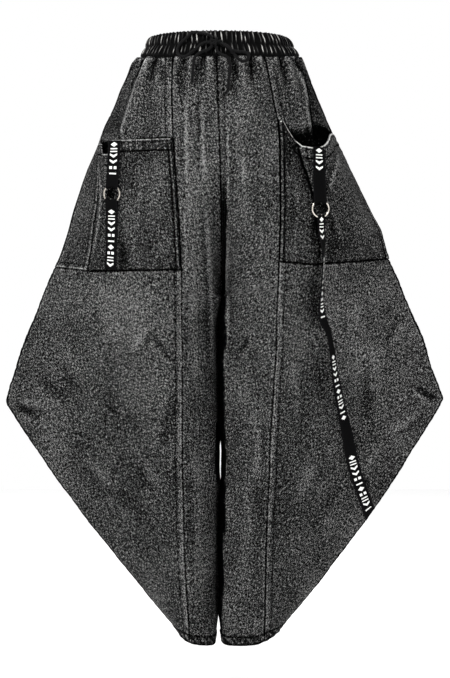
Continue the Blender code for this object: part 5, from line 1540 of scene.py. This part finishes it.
# Soft shade on the pockets. side, x, drop, reach across, reach down, how pale
POCKET_SHADES = (
    (RIGHT, 0.147, 0.332, 0.008, 0.030, -1.1),
    (RIGHT, 0.1646, 0.2337, 0.0085, 0.0090, -2.2),
    (RIGHT, 0.150, 0.215, 0.005, 0.050, -0.35),
    (LEFT, 0.1584, 0.2540, 0.0070, 0.0060, -1.2),
    (LEFT, 0.1060, 0.1660, 0.0070, 0.0340, -0.9),
    (LEFT, 0.1465, 0.2825, 0.0065, 0.0240, -0.9),
    (LEFT, 0.1760, 0.3180, 0.0120, 0.0220, -0.5),
    (LEFT, 0.1300, 0.2100, 0.0060, 0.0300, -0.3),
)
EDGE_SHARES = EDGE_STEPS / 0.175
POCKET_COLUMNS = 92
POCKET_ROWS = 76
BAND_STEPS = np.array((
    0, 0.0008, 0.0018, 0.003, 0.0042, 0.006, 0.008, 0.011,
    0.014, 0.0162, 0.0172, 0.018, 0.0188, 0.020, 0.023,
))


def q_of(side, u, drop):
    """q of a drop above the seam across the thigh."""
    top, thigh = read(TOP_EDGE, u), read(THIGH_SEAM[side], u)
    return (drop - top) / (thigh - top)


def side_panel_u(side, f, drop):
    """u on the front side panel at a share across it and a drop."""
    u = np.full(np.shape(f), 0.6)
    for _ in range(6):
        q = np.clip(q_of(side, u, drop), 0, 1)
        known = np.linspace(0, 1, 60)
        first = np.interp(q, known, [seam_u(side, "long", k) for k in known])
        last = np.interp(q, known, [seam_u(side, "side", k) for k in known])
        u = first + (last - first) * f
    return u


def pocket_folds(side, f, drop, width):
    """How far a pocket's soft folds lift it."""
    lift = np.zeros_like(f)
    for f0, drop0, f1, drop1, half_width, height in POCKETS[side]["folds"]:
        x_mm, drop_mm = (f - f0) * width * TO_MM, (drop - drop0) * TO_MM
        low = (f1 - f0) * np.mean(width) * TO_MM, (drop1 - drop0) * TO_MM
        along, across = from_line(x_mm, drop_mm, (0, 0), low)
        ends = swell(along, -0.1, 0.25) * (1 - swell(along, 0.75, 1.1))
        lift += MM * height * ends * bell(across, half_width)
    return lift


def pocket_lines(side, x, drop):
    """Height and tone of the sharp folds, painted as light and shade, and of the soft painted shade. The
    cloth stands up outside a groove.
    """
    lift, tone = np.zeros_like(x), np.zeros_like(x)
    x_mm, drop_mm = TO_MM * x * side, TO_MM * drop
    for of_side, kind, strength, half_width, *points in POCKET_LINES:
        if of_side != side:
            continue
        points = np.array(points, float)
        off = np.interp(drop_mm, points[:, 1], points[:, 0])
        across = (x_mm - off) * 0.93
        along = (drop_mm - points[0, 1]) / (points[-1, 1] - points[0, 1])
        ends = strength * swell(along, -0.02, 0.12) * (1 - swell(along, 0.86, 1.04))
        if kind == "groove":
            lift += 0.0030 * ends * swell(across, -2.0, 2.0) * (1 - swell(across, 4.0, 26.0))
            # Painted shade in the groove and on its inner side, and a painted highlight on the facet outside
            # it.
            tone += ends * (0.50 * line_at(across, 4.0, 3.0) - 2.6 * line_at(across, 0.0, half_width))
            tone -= ends * 0.30 * line_at(across, -3.5, 3.5)
        else:
            lift += 0.0014 * ends * line_at(across, 0.0, 1.4 * half_width)
            # A painted highlight on the ridge, with painted shade beside it.
            beside = line_at(across, -2.6 * half_width, half_width)
            tone += ends * (1.1 * line_at(across, 0.0, half_width) - 0.5 * beside)
    for of_side, at_x, at_drop, reach_x, reach_drop, pale in POCKET_SHADES:
        if of_side == side:
            tone += pale * spot(x * side - at_x, drop - at_drop, reach_x, reach_drop)
    return lift, tone


PIPING = {RIGHT: 1.9, LEFT: 3.0}  # how worn the mouth's edge is


def add_pocket(side):
    """A patch pocket that gapes at its mouth, and what its stitches need to know of it."""
    pocket = POCKETS[side]
    first_f, last_f = pocket["span"]
    middle, reach, gape_height, fade = pocket["gape"]
    plain_shares = np.linspace(first_f + EDGE_SHARES[-1], last_f - EDGE_SHARES[-1], POCKET_COLUMNS)[1:-1]
    shares = np.concatenate([first_f + EDGE_SHARES, plain_shares, last_f - EDGE_SHARES[::-1]])
    edge = read(pocket["mouth"], shares)
    bottom = np.full_like(shares, 0.34)
    for _ in range(4):
        bottom = read(THIGH_SEAM[side], side_panel_u(side, shares, bottom)) - 0.0006
    top_rows, foot_rows = edge + BAND_STEPS[:, None], bottom - EDGE_STEPS[::-1, None]
    between = np.linspace(0, 1, POCKET_ROWS)[1:-1, None]
    drop = np.concatenate([top_rows, top_rows[-1] + (foot_rows[0] - top_rows[-1]) * between, foot_rows])
    f = np.tile(shares, (len(drop), 1))
    u = side_panel_u(side, f, drop)
    plain = cloth_point(side, u, drop, np.zeros_like(u))
    width = np.linalg.norm(np.diff(plain, axis=1), axis=2).sum(axis=1)[:, None] / (last_f - first_f)
    start, end = f * width, (1 - f) * width
    under, tone = cloth_detail(side, "front_side", u, drop, f, start, end)
    from_edge = drop - edge
    gape = gape_height * np.exp(-(((f - middle) / reach) ** 2) - (from_edge / fade) ** 2)
    belly = 0.003 * np.sin(np.pi * f) * np.sin(np.pi * np.clip(q_of(side, u, drop), 0, 1)) ** 2
    folds = pocket_folds(side, f, drop, width)
    pinned = swell(f, first_f, first_f + 0.10) * (1 - swell(f, last_f - 0.06, last_f))
    pinned = pinned * (1 - swell(drop - bottom, -0.016, 0.0))
    line_lift, line_tone = pocket_lines(side, plain[..., 0], drop)
    lift = np.maximum(POCKET_GAP, POCKET_GAP + gape + belly + (folds + line_lift) * pinned)
    in_band = 1 - swell(from_edge, POCKET_BAND - 0.0008, POCKET_BAND + 0.0008)
    gathers = wander(f * width, 91 + side, 0.0105)
    band_pucker = 0.0005 * gathers * in_band * swell(from_edge, 0.0, 0.006)
    to_bottom = bottom - drop
    foot_pucker = 0.0008 * wander(f * width, 95 + side, 0.014) * np.exp(-((to_bottom / 0.010) ** 2))
    from_side = (f - first_f) * width
    side_rope = wander(drop, 99 + side, 0.010)
    side_pucker = 0.0004 * side_rope * np.exp(-((from_side / 0.009) ** 2))
    rise = POCKET_HEM_RISE * in_band + np.maximum(band_pucker + foot_pucker + side_pucker, -0.0003)
    normal = on_grid(FORM[side]["normals"], u, drop)
    direction = np.concatenate([normal, np.zeros_like(u)[..., None]], axis=-1)
    ground = cloth_point(side, u, drop, under)
    inner = ground + direction * lift[..., None]
    outer = inner + direction * (DENIM + rise)[..., None]
    # The folds are painted paler where they rise and darker where they sink, as light and shade.
    tone = 0.35 * np.clip(tone, -0.6, 0.6) - 0.12 + np.clip(folds * pinned / 0.004, -0.4, 0.4) + line_tone
    tone += in_band * (0.55 * gathers + 0.12) + PIPING[side] * line_at(from_edge, 0.0004, 0.0017)
    tone -= 1.1 * line_at(from_edge, 0.0034, 0.0013) + 1.9 * line_at(from_edge, POCKET_BAND, 0.0013)
    tone += 0.30 * line_at(from_edge, POCKET_BAND + 0.0030, 0.0014)
    tone -= 1.9 * line_at(to_bottom, 0.0, 0.0016)
    tone += 0.45 * wander(f * width, 95, 0.014) * line_at(to_bottom, 0.004, 0.005)
    side_lines = 1.3 * line_at(from_side, 0.0012, 0.0014) + 0.6 * line_at(from_side, 0.0085, 0.0012)
    tone += (0.6 + 0.4 * side_rope) * side_lines
    tone -= 1.5 * line_at(from_side, 0.0044, 0.0013) + 0.6 * line_at(from_side, 0.0066, 0.0010)
    tone -= 1.2 * line_at((last_f - f) * width, 0.0, 0.0015)
    uv = np.stack([start + 0.77 + 0.2 * side, drop], axis=-1)
    name = f"pocket_{SIDE_NAMES[side]}"
    piece = shell(f"{name}_cloth", outer, inner, tone, uv, DENIM_CLOTH)
    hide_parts(name)
    return {"piece": piece, "outer": outer, "inner": inner, "from_edge": from_edge, "from_side": from_side}


POCKET = {side: add_pocket(side) for side in (RIGHT, LEFT)}

# ---------------------------------------------------------------- what the straps lie on
REACH = 0.05
EDGE_JUMP = 0.010


def cloth_tree(side):
    """The cloth under the straps of one side."""
    points, faces = [], []
    for cloth in (CLOTH_PIECES[side, "front_side"], POCKET[side], CLOTH_PIECES[side, "front_wing"]):
        piece = cloth["piece"]
        faces += [tuple(len(points) + number for number in face.vertices) for face in piece.data.polygons]
        points += [vertex.co.copy() for vertex in piece.data.vertices]
    return BVHTree.FromPolygons(points, faces)


CLOTH = {side: cloth_tree(side) for side in (RIGHT, LEFT)}


def surface_point(side, x, drop):
    """The front of the outermost cloth at x and a drop, or None past its edge.

    A look that goes through a seam is taken again just above it.
    """
    for above in (0, 2 * SEAM_GAP, 5 * SEAM_GAP):
        found = CLOTH[side].ray_cast(Vector((x, -1.0, above - drop)), Vector((0, 1, 0)))[0]
        if found is not None:
            return found
    return None


def surface_normal(side, x, drop, step=0.008):
    """The way out of the cloth. A look that falls past an edge gives way to the point itself."""
    here = surface_point(side, x, drop)
    ends = []
    for over, down in ((step, 0), (-step, 0), (0, step), (0, -step)):
        end = surface_point(side, x + over, drop + down)
        past_edge = end is None or abs(end.y - here.y) > EDGE_JUMP
        ends.append(here if past_edge else end)
    return unit(np.cross(ends[2] - ends[3], ends[0] - ends[1]))


def clearance(side, point, normal):
    """How far a point stands off the cloth, along a normal. Past the cloth's edge it is the whole reach."""
    distance = CLOTH[side].ray_cast(Vector(point + normal * REACH), Vector(-normal), 2 * REACH)[3]
    return REACH if distance is None else distance - REACH


def evened(vectors, reach):
    """Directions along a path, each averaged with its neighbours."""
    padded = np.pad(vectors, ((reach, reach), (0, 0)), mode="edge")
    weights = np.hanning(2 * reach + 3)[1:-1]
    return unit(np.stack([np.convolve(padded[:, axis], weights, mode="valid") for axis in range(3)], axis=1))


# ---------------------------------------------------------------- straps and rings
STRAP_COLUMNS = np.linspace(-1, 1, 9)
LOOP_STEPS = 10
RAISE = 0.0003
MOST_RAISES = 30
LOOKS = 4
TAIL = 0.0065
FREE_RUN = 0.018
FINER = 4  # rows of a strap for each one that is laid on the cloth


def thickened(middle, half):
    """The two faces of a strap, half its thickness to each side of its middle."""
    normals = unit(np.cross(np.gradient(middle, axis=0), np.gradient(middle, axis=1)))
    return middle + normals * half, middle - normals * half


def rows_in_cloth(side, middle):
    """The rows of a strap that touch the cloth, or nearly so."""
    points, faces, row_of = [], [], []
    for sheet in thickened(middle, WEBBING / 2 + REST_GAP / 2):
        numbers = len(points) + np.arange(sheet.shape[0] * sheet.shape[1]).reshape(sheet.shape[:2])
        points += [Vector(point) for point in sheet.reshape(-1, 3)]
        for i in range(len(numbers) - 1):
            made = grid_faces(numbers[i:i + 2])
            faces += made
            row_of += [i] * len(made)
    touching = {row_of[a] for a, _ in BVHTree.FromPolygons(points, faces).overlap(CLOTH[side])}
    return {j for i in touching for j in (i, i + 1)}


def strap_on_cloth(side, table, count, skew):
    """Rows of points across a strap that lies on the cloth. table: x, drop, twist in degrees, half width.
    skew: how far the end is cut back per metre across."""
    rows = smooth_path(table, (count - 1) * LOOKS + 1)
    feet = np.array([surface_point(side, x, drop) for x, drop in rows[:, :2]])
    normals = np.array([surface_normal(side, x, drop) for x, drop in rows[:, :2]])
    normals = evened(normals, 3 * LOOKS)
    along = evened(unit(np.gradient(feet, axis=0)), 3 * LOOKS)
    normals = unit(normals - along * (normals * along).sum(axis=1, keepdims=True))
    flat = np.cross(along, normals)
    twist = np.radians(rows[:, 2:3])
    across = flat * np.cos(twist) + normals * np.sin(twist)
    offsets = rows[:, 3:4] * STRAP_COLUMNS
    cut = skew * np.clip((np.arange(len(rows)) - len(rows) + 1 + LOOKS) / LOOKS, 0, 1)
    middle = feet[:, None] + across[:, None] * offsets[..., None]
    middle -= along[:, None] * (cut[:, None] * offsets)[..., None]
    needed = [
        REST_GAP + WEBBING / 2 - min(clearance(side, point, normal) for point in row)
        for row, normal in zip(middle, normals, strict=True)
    ]
    lift = [max(needed[max(i - LOOKS, 0):i + LOOKS + 1]) for i in range(0, len(rows), LOOKS)]
    lift = np.convolve(np.pad(lift, 1, mode="edge"), np.ones(3) / 3, mode="valid")
    laid = middle[::LOOKS] + (normals[::LOOKS] * lift[:, None])[:, None]
    for _ in range(MOST_RAISES):
        crossing = rows_in_cloth(side, laid)
        if not crossing:
            break
        for i in crossing:
            laid[i] += normals[::LOOKS][i] * RAISE
    return laid


def ring_frame(side, joint, x, drop, up_x, up_drop):
    """Centre, up, across and normal of a ring, on its joint's axis."""
    spin = next(found for found in frame["joints"] if found["name"] == joint)
    centre, normal = np.array(spin["pos_m"]), unit(np.array(spin["axis"]))
    up = np.array(surface_point(side, up_x, up_drop)) - np.array(surface_point(side, x, drop))
    up = unit(up - normal * np.dot(up, normal))
    return {"centre": centre, "up": up, "across": np.cross(normal, up), "normal": normal}


def loop_rows(ring, half_width, upward):
    """A strap's rows round the wire of its ring, from the front to the back, and then its tail."""
    sign = 1 if upward else -1
    offsets = half_width * STRAP_COLUMNS
    heights = sign * np.sqrt(RING_RADIUS ** 2 - offsets ** 2)
    spokes = (ring["across"] * offsets[:, None] + ring["up"] * heights[:, None]) / RING_RADIUS
    rows = []
    for turn in np.linspace(0, math.pi, LOOP_STEPS + 1):
        reach = RING_RADIUS - LOOP_RADIUS * math.sin(turn)
        rows.append(ring["centre"] + spokes * reach + ring["normal"] * LOOP_RADIUS * math.cos(turn))
    flat = ring["centre"] + ring["across"] * offsets[:, None] - ring["normal"] * LOOP_RADIUS
    rows.append(flat + ring["up"] * sign * (RING_RADIUS + TAIL))
    return np.array(rows)


def finer(rows):
    """The same strap with more rows, along smooth curves through them."""
    count = (len(rows) - 1) * FINER + 1
    at, known = np.linspace(0, len(rows) - 1, count), np.arange(len(rows))
    slopes = np.gradient(rows, axis=0)
    i = np.clip(at.astype(int), 0, len(rows) - 2)
    t = (at - known[i])[:, None, None]
    return (
        (2 * t ** 3 - 3 * t ** 2 + 1) * rows[i] + (t ** 3 - 2 * t ** 2 + t) * slopes[i]
        + (3 * t ** 2 - 2 * t ** 3) * rows[i + 1] + (t ** 3 - t ** 2) * slopes[i + 1]
    )


def add_strap(name, laid, loop, loop_first):
    """A strap from its rows on the cloth and its loop round the ring."""
    laid = finer(laid)
    middle = np.concatenate([loop[::-1], laid]) if loop_first else np.concatenate([laid, loop])
    one, other = thickened(middle, WEBBING / 2)
    outward = (one - other)[len(middle) // 2, 4]
    front, back = (one, other) if outward[1] < 0 else (other, one)
    along = np.concatenate([[0], np.cumsum(np.linalg.norm(np.diff(middle[:, 4], axis=0), axis=1))])
    uv = np.stack(np.broadcast_arrays(STRAP_WIDTH / 2 * STRAP_COLUMNS, along[:, None]), axis=-1)
    edge = np.broadcast_to(np.abs(STRAP_COLUMNS) ** 6, middle.shape[:2])
    piece = shell(f"{name}_webbing", front, back, edge, uv, WEBBING_CLOTH)
    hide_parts(name)
    return {"front": front, "back": back, "along": along}


def add_ring(side_name, ring):
    """A torus of drawn wire, that turns with its body."""
    points, faces = [], []
    round_count, wire_count = 96, 20
    for i in range(round_count):
        turn = 2 * math.pi * i / round_count
        spoke = ring["across"] * math.cos(turn) + ring["up"] * math.sin(turn)
        for j in range(wire_count):
            angle = 2 * math.pi * j / wire_count
            reach = RING_RADIUS + WIRE_RADIUS * math.cos(angle)
            points.append(ring["centre"] + spoke * reach + ring["normal"] * WIRE_RADIUS * math.sin(angle))
            corners = ((i, j), (i + 1, j), (i + 1, j + 1), (i, j + 1))
            faces.append([(a % round_count) * wire_count + b % wire_count for a, b in corners])
    name = f"ring_{side_name}"
    piece = add_mesh(f"{name}_wire", points, faces, METAL, body=name)
    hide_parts(name)


RIGHT_RING = ring_frame(RIGHT, "ring_right_spin", -0.1630, 0.2334, -0.1622, 0.2050)
LEFT_RING = ring_frame(LEFT, "ring_left_spin", 0.1574, 0.2573, 0.1560, 0.2290)
FLAT = STRAP_WIDTH / 2
RING_TURN = 8
BUNCHED = 0.0055
# x, drop, twist in degrees, half width
UPPER_RIGHT = ((-0.1600, 0.1515, 0, FLAT), (-0.1622, 0.2334 - RING_RADIUS - FREE_RUN, RING_TURN, FLAT))
LOWER_RIGHT = (
    (-0.1640, 0.2334 + RING_RADIUS + FREE_RUN, RING_TURN, FLAT),
    (-0.1648, 0.2900, 0, FLAT),
    (-0.1670, 0.3500, 0, FLAT),
)
UPPER_LEFT = ((0.1550, 0.1620, 0, FLAT), (0.1562, 0.2573 - RING_RADIUS - FREE_RUN, -RING_TURN, FLAT))
LONG_LEFT = (
    (0.1578, 0.2870, 20, 0.0070),
    (0.1588, 0.3078, 48, FLAT),
    (0.1588, 0.3525, 58, FLAT),
    (0.1590, 0.3986, 58, FLAT),
    (0.1621, 0.4294, 40, FLAT),
    (0.1690, 0.4449, 50, FLAT),
    (0.1765, 0.4837, 48, FLAT),
    (0.1804, 0.5101, 42, FLAT),
    (0.1888, 0.5540, 26, FLAT),
    (0.2032, 0.6117, 5, FLAT),
    (0.2090, 0.6394, 0, FLAT),
    (0.2176, 0.6719, 0, FLAT),
    (0.2296, 0.7047, 0, FLAT),
    (0.2420, 0.7380, 0, FLAT),
)
END_SKEW = -0.7  # how far the long strap's end is cut back per metre across

# side, route, rows on the cloth, skew of the end, ring, half width in the ring, whether it goes up from the
# ring, and how it is held
STRAP_PLANS = {
    "strap_upper_right": (RIGHT, UPPER_RIGHT, 5, 0.0, RIGHT_RING, FLAT, True, "stretched"),
    "strap_lower_right": (RIGHT, LOWER_RIGHT, 7, 0.0, RIGHT_RING, FLAT, False, "stretched"),
    "strap_upper_left": (LEFT, UPPER_LEFT, 5, 0.0, LEFT_RING, FLAT, True, "stretched"),
    "strap_long_left": (LEFT, LONG_LEFT, 32, END_SKEW, LEFT_RING, BUNCHED, False, "hung"),
}
STRAPS = {}
for name, (side, table, count, skew, ring, half_width, upward, held) in STRAP_PLANS.items():
    laid = strap_on_cloth(side, table, count, skew)
    STRAPS[name] = add_strap(name, laid, loop_rows(ring, half_width, upward), not upward)
add_ring("right", RIGHT_RING)
add_ring("left", LEFT_RING)

# ---------------------------------------------------------------- the straps' white marks
# Plain shapes, as outlines in millimetres along and across the strap.
MARKS = {
    "bar": (((-1.1, -5.6), (1.1, -5.6), (1.1, 5.6), (-1.1, 5.6)),),
    "pair": (
        ((-3.2, -5.6), (-1.4, -5.6), (-1.4, 5.6), (-3.2, 5.6)),
        ((1.4, -5.6), (3.2, -5.6), (3.2, 5.6), (1.4, 5.6)),
    ),
    "diamond": (((-3.8, 0.0), (0.0, -5.6), (3.8, 0.0), (0.0, 5.6)),),
    "arrow": (((-3.6, -5.8), (-0.9, -5.8), (3.2, 0.0), (-0.9, 5.8), (-3.6, 5.8), (0.6, 0.0)),),
    "squares": (
        ((-2.1, -5.8), (2.1, -5.8), (2.1, -1.4), (-2.1, -1.4)),
        ((-2.1, 1.4), (2.1, 1.4), (2.1, 5.8), (-2.1, 5.8)),
    ),
}
MARK_ORDER = (
    "diamond", "pair", "arrow", "arrow", "squares", "bar", "diamond", "squares", "pair", "arrow", "bar",
)
MARK_PITCH = 0.0092  # from one mark to the next
MARK_THICKNESS = 0.00012
MARK_LIFT = 0.00003  # of its under side, off the webbing
MARK_CUTS = 3  # pieces of each side of a shape
MARK_END = 0.004  # bare webbing at a strap's end
HALF_WIDTH_MM = 10
# strap, distance down it of the first mark and the last
MARK_RUNS = (
    ("strap_upper_right", 0.006, 0.056),
    ("strap_lower_right", 0.030, 0.125),
    ("strap_upper_left", 0.006, 0.042),
    ("strap_long_left", 0.018, 0.054),
    ("strap_long_left", 0.080, 0.175),
    ("strap_long_left", 0.238, 0.345),
    ("strap_long_left", 0.405, 0.520),
)


def strap_point(strap, along, across, out):
    """A point on a strap's front, by its distance down the strap and its share across, moved out."""
    i = int(np.clip(np.searchsorted(strap["along"], along) - 1, 0, len(strap["along"]) - 2))
    down = (along - strap["along"][i]) / (strap["along"][i + 1] - strap["along"][i])
    over = (across + 1) / 2 * (len(STRAP_COLUMNS) - 1)
    j = int(np.clip(over, 0, len(STRAP_COLUMNS) - 2))
    over -= j
    corners = []
    for sheet in (strap["front"], strap["back"]):
        upper = sheet[i, j] * (1 - over) + sheet[i, j + 1] * over
        lower = sheet[i + 1, j] * (1 - over) + sheet[i + 1, j + 1] * over
        corners.append(upper * (1 - down) + lower * down)
    return corners[0] + unit(corners[0] - corners[1]) * out


def mark_shape(strap, along, outline):
    """Points and faces of one flat shape on a strap, at a distance down it."""
    outline = np.array(outline)
    sides = zip(outline, np.roll(outline, -1, axis=0))
    dense = np.concatenate([a + (b - a) * np.linspace(0, 1, MARK_CUTS + 1)[:-1, None] for a, b in sides])
    middle = (outline[:, 0].mean(), outline[:, 1].mean())
    points = [
        strap_point(strap, along + MM * a, b / HALF_WIDTH_MM, out)
        for out in (MARK_LIFT, MARK_THICKNESS)
        for a, b in (*dense, middle)
    ]
    count = len(dense)
    top = count + 1
    faces = []
    for k in range(count):
        after = (k + 1) % count
        faces.append([after, k, count])
        faces.append([top + k, top + after, top + count])
        faces.append([k, after, top + after, top + k])
    return points, faces


def add_marks(name):
    """The white marks of one strap."""
    strap = STRAPS[name]
    shapes = []
    for strap_name, first, last in MARK_RUNS:
        if strap_name != name:
            continue
        for i, along in enumerate(np.arange(first, min(last, strap["along"][-1] - MARK_END), MARK_PITCH)):
            for outline in MARKS[MARK_ORDER[i % len(MARK_ORDER)]]:
                shapes.append(mark_shape(strap, along, outline))
    points, faces = joined(shapes)
    made = add_mesh(f"{name}_marks", points, faces, MARK_INK)


for name in STRAPS:
    add_marks(name)

# ---------------------------------------------------------------- stitches
STITCH = 0.0032
STITCH_PITCH = 0.0040  # from one stitch to the next
STITCH_RADIUS = 0.00032
STITCH_INSET = 0.0022


def crossing_line(cloth, field, value):
    """Where a field passes a value, row by row: points on the cloth's face and the way out of it."""
    places, ways = [], []
    for row, outer, inner in zip(field, cloth["outer"], cloth["inner"], strict=True):
        order = np.argsort(row)
        if not row[order[0]] < value < row[order[-1]]:
            continue
        place = np.array([np.interp(value, row[order], outer[order, axis]) for axis in range(3)])
        under = np.array([np.interp(value, row[order], inner[order, axis]) for axis in range(3)])
        places.append(place)
        ways.append(unit(place - under))
    return np.array(places), np.array(ways)


def turned_over(cloth):
    """The same cloth with its rows and columns exchanged."""
    return {key: np.swapaxes(value, 0, 1) for key, value in cloth.items() if key != "piece"}


def stitch_run(places, ways):
    """Points and faces of stitches along a line on the cloth."""
    steps = np.linalg.norm(np.diff(places, axis=0), axis=1)
    along = np.concatenate([[0], np.cumsum(steps)])
    points, faces = [], []
    for start in np.arange(0.5 * STITCH_PITCH, along[-1] - STITCH_PITCH, STITCH_PITCH):
        ends = [read_at(at, along, places) for at in (start, start + STITCH)]
        out = unit(read_at(start, along, ways))
        run = unit(ends[1] - ends[0])
        beside = np.cross(run, out)
        centre = (ends[0] + ends[1]) / 2 + out * 0.0001
        base = len(points)
        for way in (beside, out, -beside, -out):
            beside = centre + way * STITCH_RADIUS
            points += [beside - run * STITCH * 0.3, beside + run * STITCH * 0.3]
        points += [ends[0] - out * 0.0003, ends[1] - out * 0.0003]
        for k in range(4):
            a, b = base + 2 * k, base + 2 * ((k + 1) % 4)
            faces += [[a, b, b + 1, a + 1], [base + 8, b, a], [base + 9, a + 1, b + 1]]
    return points, faces


def add_stitches(name, runs):
    """All the stitches along a panel's or a pocket's lines, as one piece."""
    points, faces = joined([stitch_run(*run) for run in runs])
    add_mesh(name, points, faces, THREAD)


def seam_runs(side, panel):
    """The stitch lines of one panel's lapped seams, and of its hem."""
    cloth = CLOTH_PIECES[side, panel]
    kind = panel.split("_")[1]
    runs = []
    for seam, field in zip(SEAMS_OF[panel], (cloth["start"], cloth["end"]), strict=True):
        if seam != "edge" and is_lapped(seam, side, panel):
            for distance in (STITCH_INSET, LAPS[seam] - STITCH_INSET):
                runs.append(crossing_line(cloth, field, distance))
    turned = turned_over(cloth)
    if kind == "side":
        for distance in (STITCH_INSET, LAPS["thigh"] - STITCH_INSET):
            runs.append(crossing_line(turned, turned["to_thigh"], distance))
    else:
        for distance in (0.0035, HEM_HEIGHT - 0.002):
            runs.append(crossing_line(turned, turned["above_hem"], distance))
    return [run for run in runs if len(run[0]) > 3]


for (side, panel) in CLOTH_PIECES:
    add_stitches(f"{panel}_{SIDE_NAMES[side]}_stitches", seam_runs(side, panel))

for side in (RIGHT, LEFT):
    pocket, turned = POCKET[side], turned_over(POCKET[side])
    pocket_runs = [
        crossing_line(turned, turned["from_edge"], POCKET_BAND - 0.0015),
        crossing_line(turned, turned["from_edge"], 0.0035),
        crossing_line(pocket, pocket["from_side"], 0.0030),
        crossing_line(pocket, pocket["from_side"], 0.0080),
    ]
    add_stitches(f"pocket_{SIDE_NAMES[side]}_stitches", pocket_runs)

# ---------------------------------------------------------------- floor and light
FLOOR_DROP = 1.02


def add_floor():
    """A plain pale floor."""
    points = [(-4, -4, -FLOOR_DROP), (4, -4, -FLOOR_DROP), (4, 4, -FLOOR_DROP), (-4, 4, -FLOOR_DROP)]
    mesh = bpy.data.meshes.new("floor")
    mesh.from_pydata(points, [], [(0, 1, 2, 3)])
    n = Nodes("pale_floor")
    n.set(Base_Color=(0.9, 0.9, 0.9, 1), Roughness=0.9)
    mesh.materials.append(n.material)
    put_in_scene("floor", mesh)


def add_area_light(name, place, target, size, power):
    """A round soft light that faces a target."""
    light = bpy.data.lights.new(name, "AREA")
    light.shape = "DISK"
    light.size = size
    light.energy = power
    made = bpy.data.objects.new(name, light)
    made.location = place
    made.rotation_euler = (Vector(target) - Vector(place)).to_track_quat("-Z", "Y").to_euler()
    bpy.context.scene.collection.objects.link(made)


add_floor()
add_area_light("key", (-1.5, -2.3, 1.3), (0, 0, -0.4), 1.0, 75)
add_area_light("fill", (1.8, -2.6, 0.0), (0, 0, -0.5), 1.6, 18)
add_area_light("rim", (0.6, 1.8, 1.6), (0, 0, -0.2), 1.2, 40)

world = bpy.data.worlds.new("studio")
world.use_nodes = True
world.node_tree.nodes["Background"].inputs["Color"].default_value = (1.0, 1.0, 1.0, 1)
world.node_tree.nodes["Background"].inputs["Strength"].default_value = 1.0
bpy.context.scene.world = world
bpy.context.scene.view_settings.view_transform = "Standard"
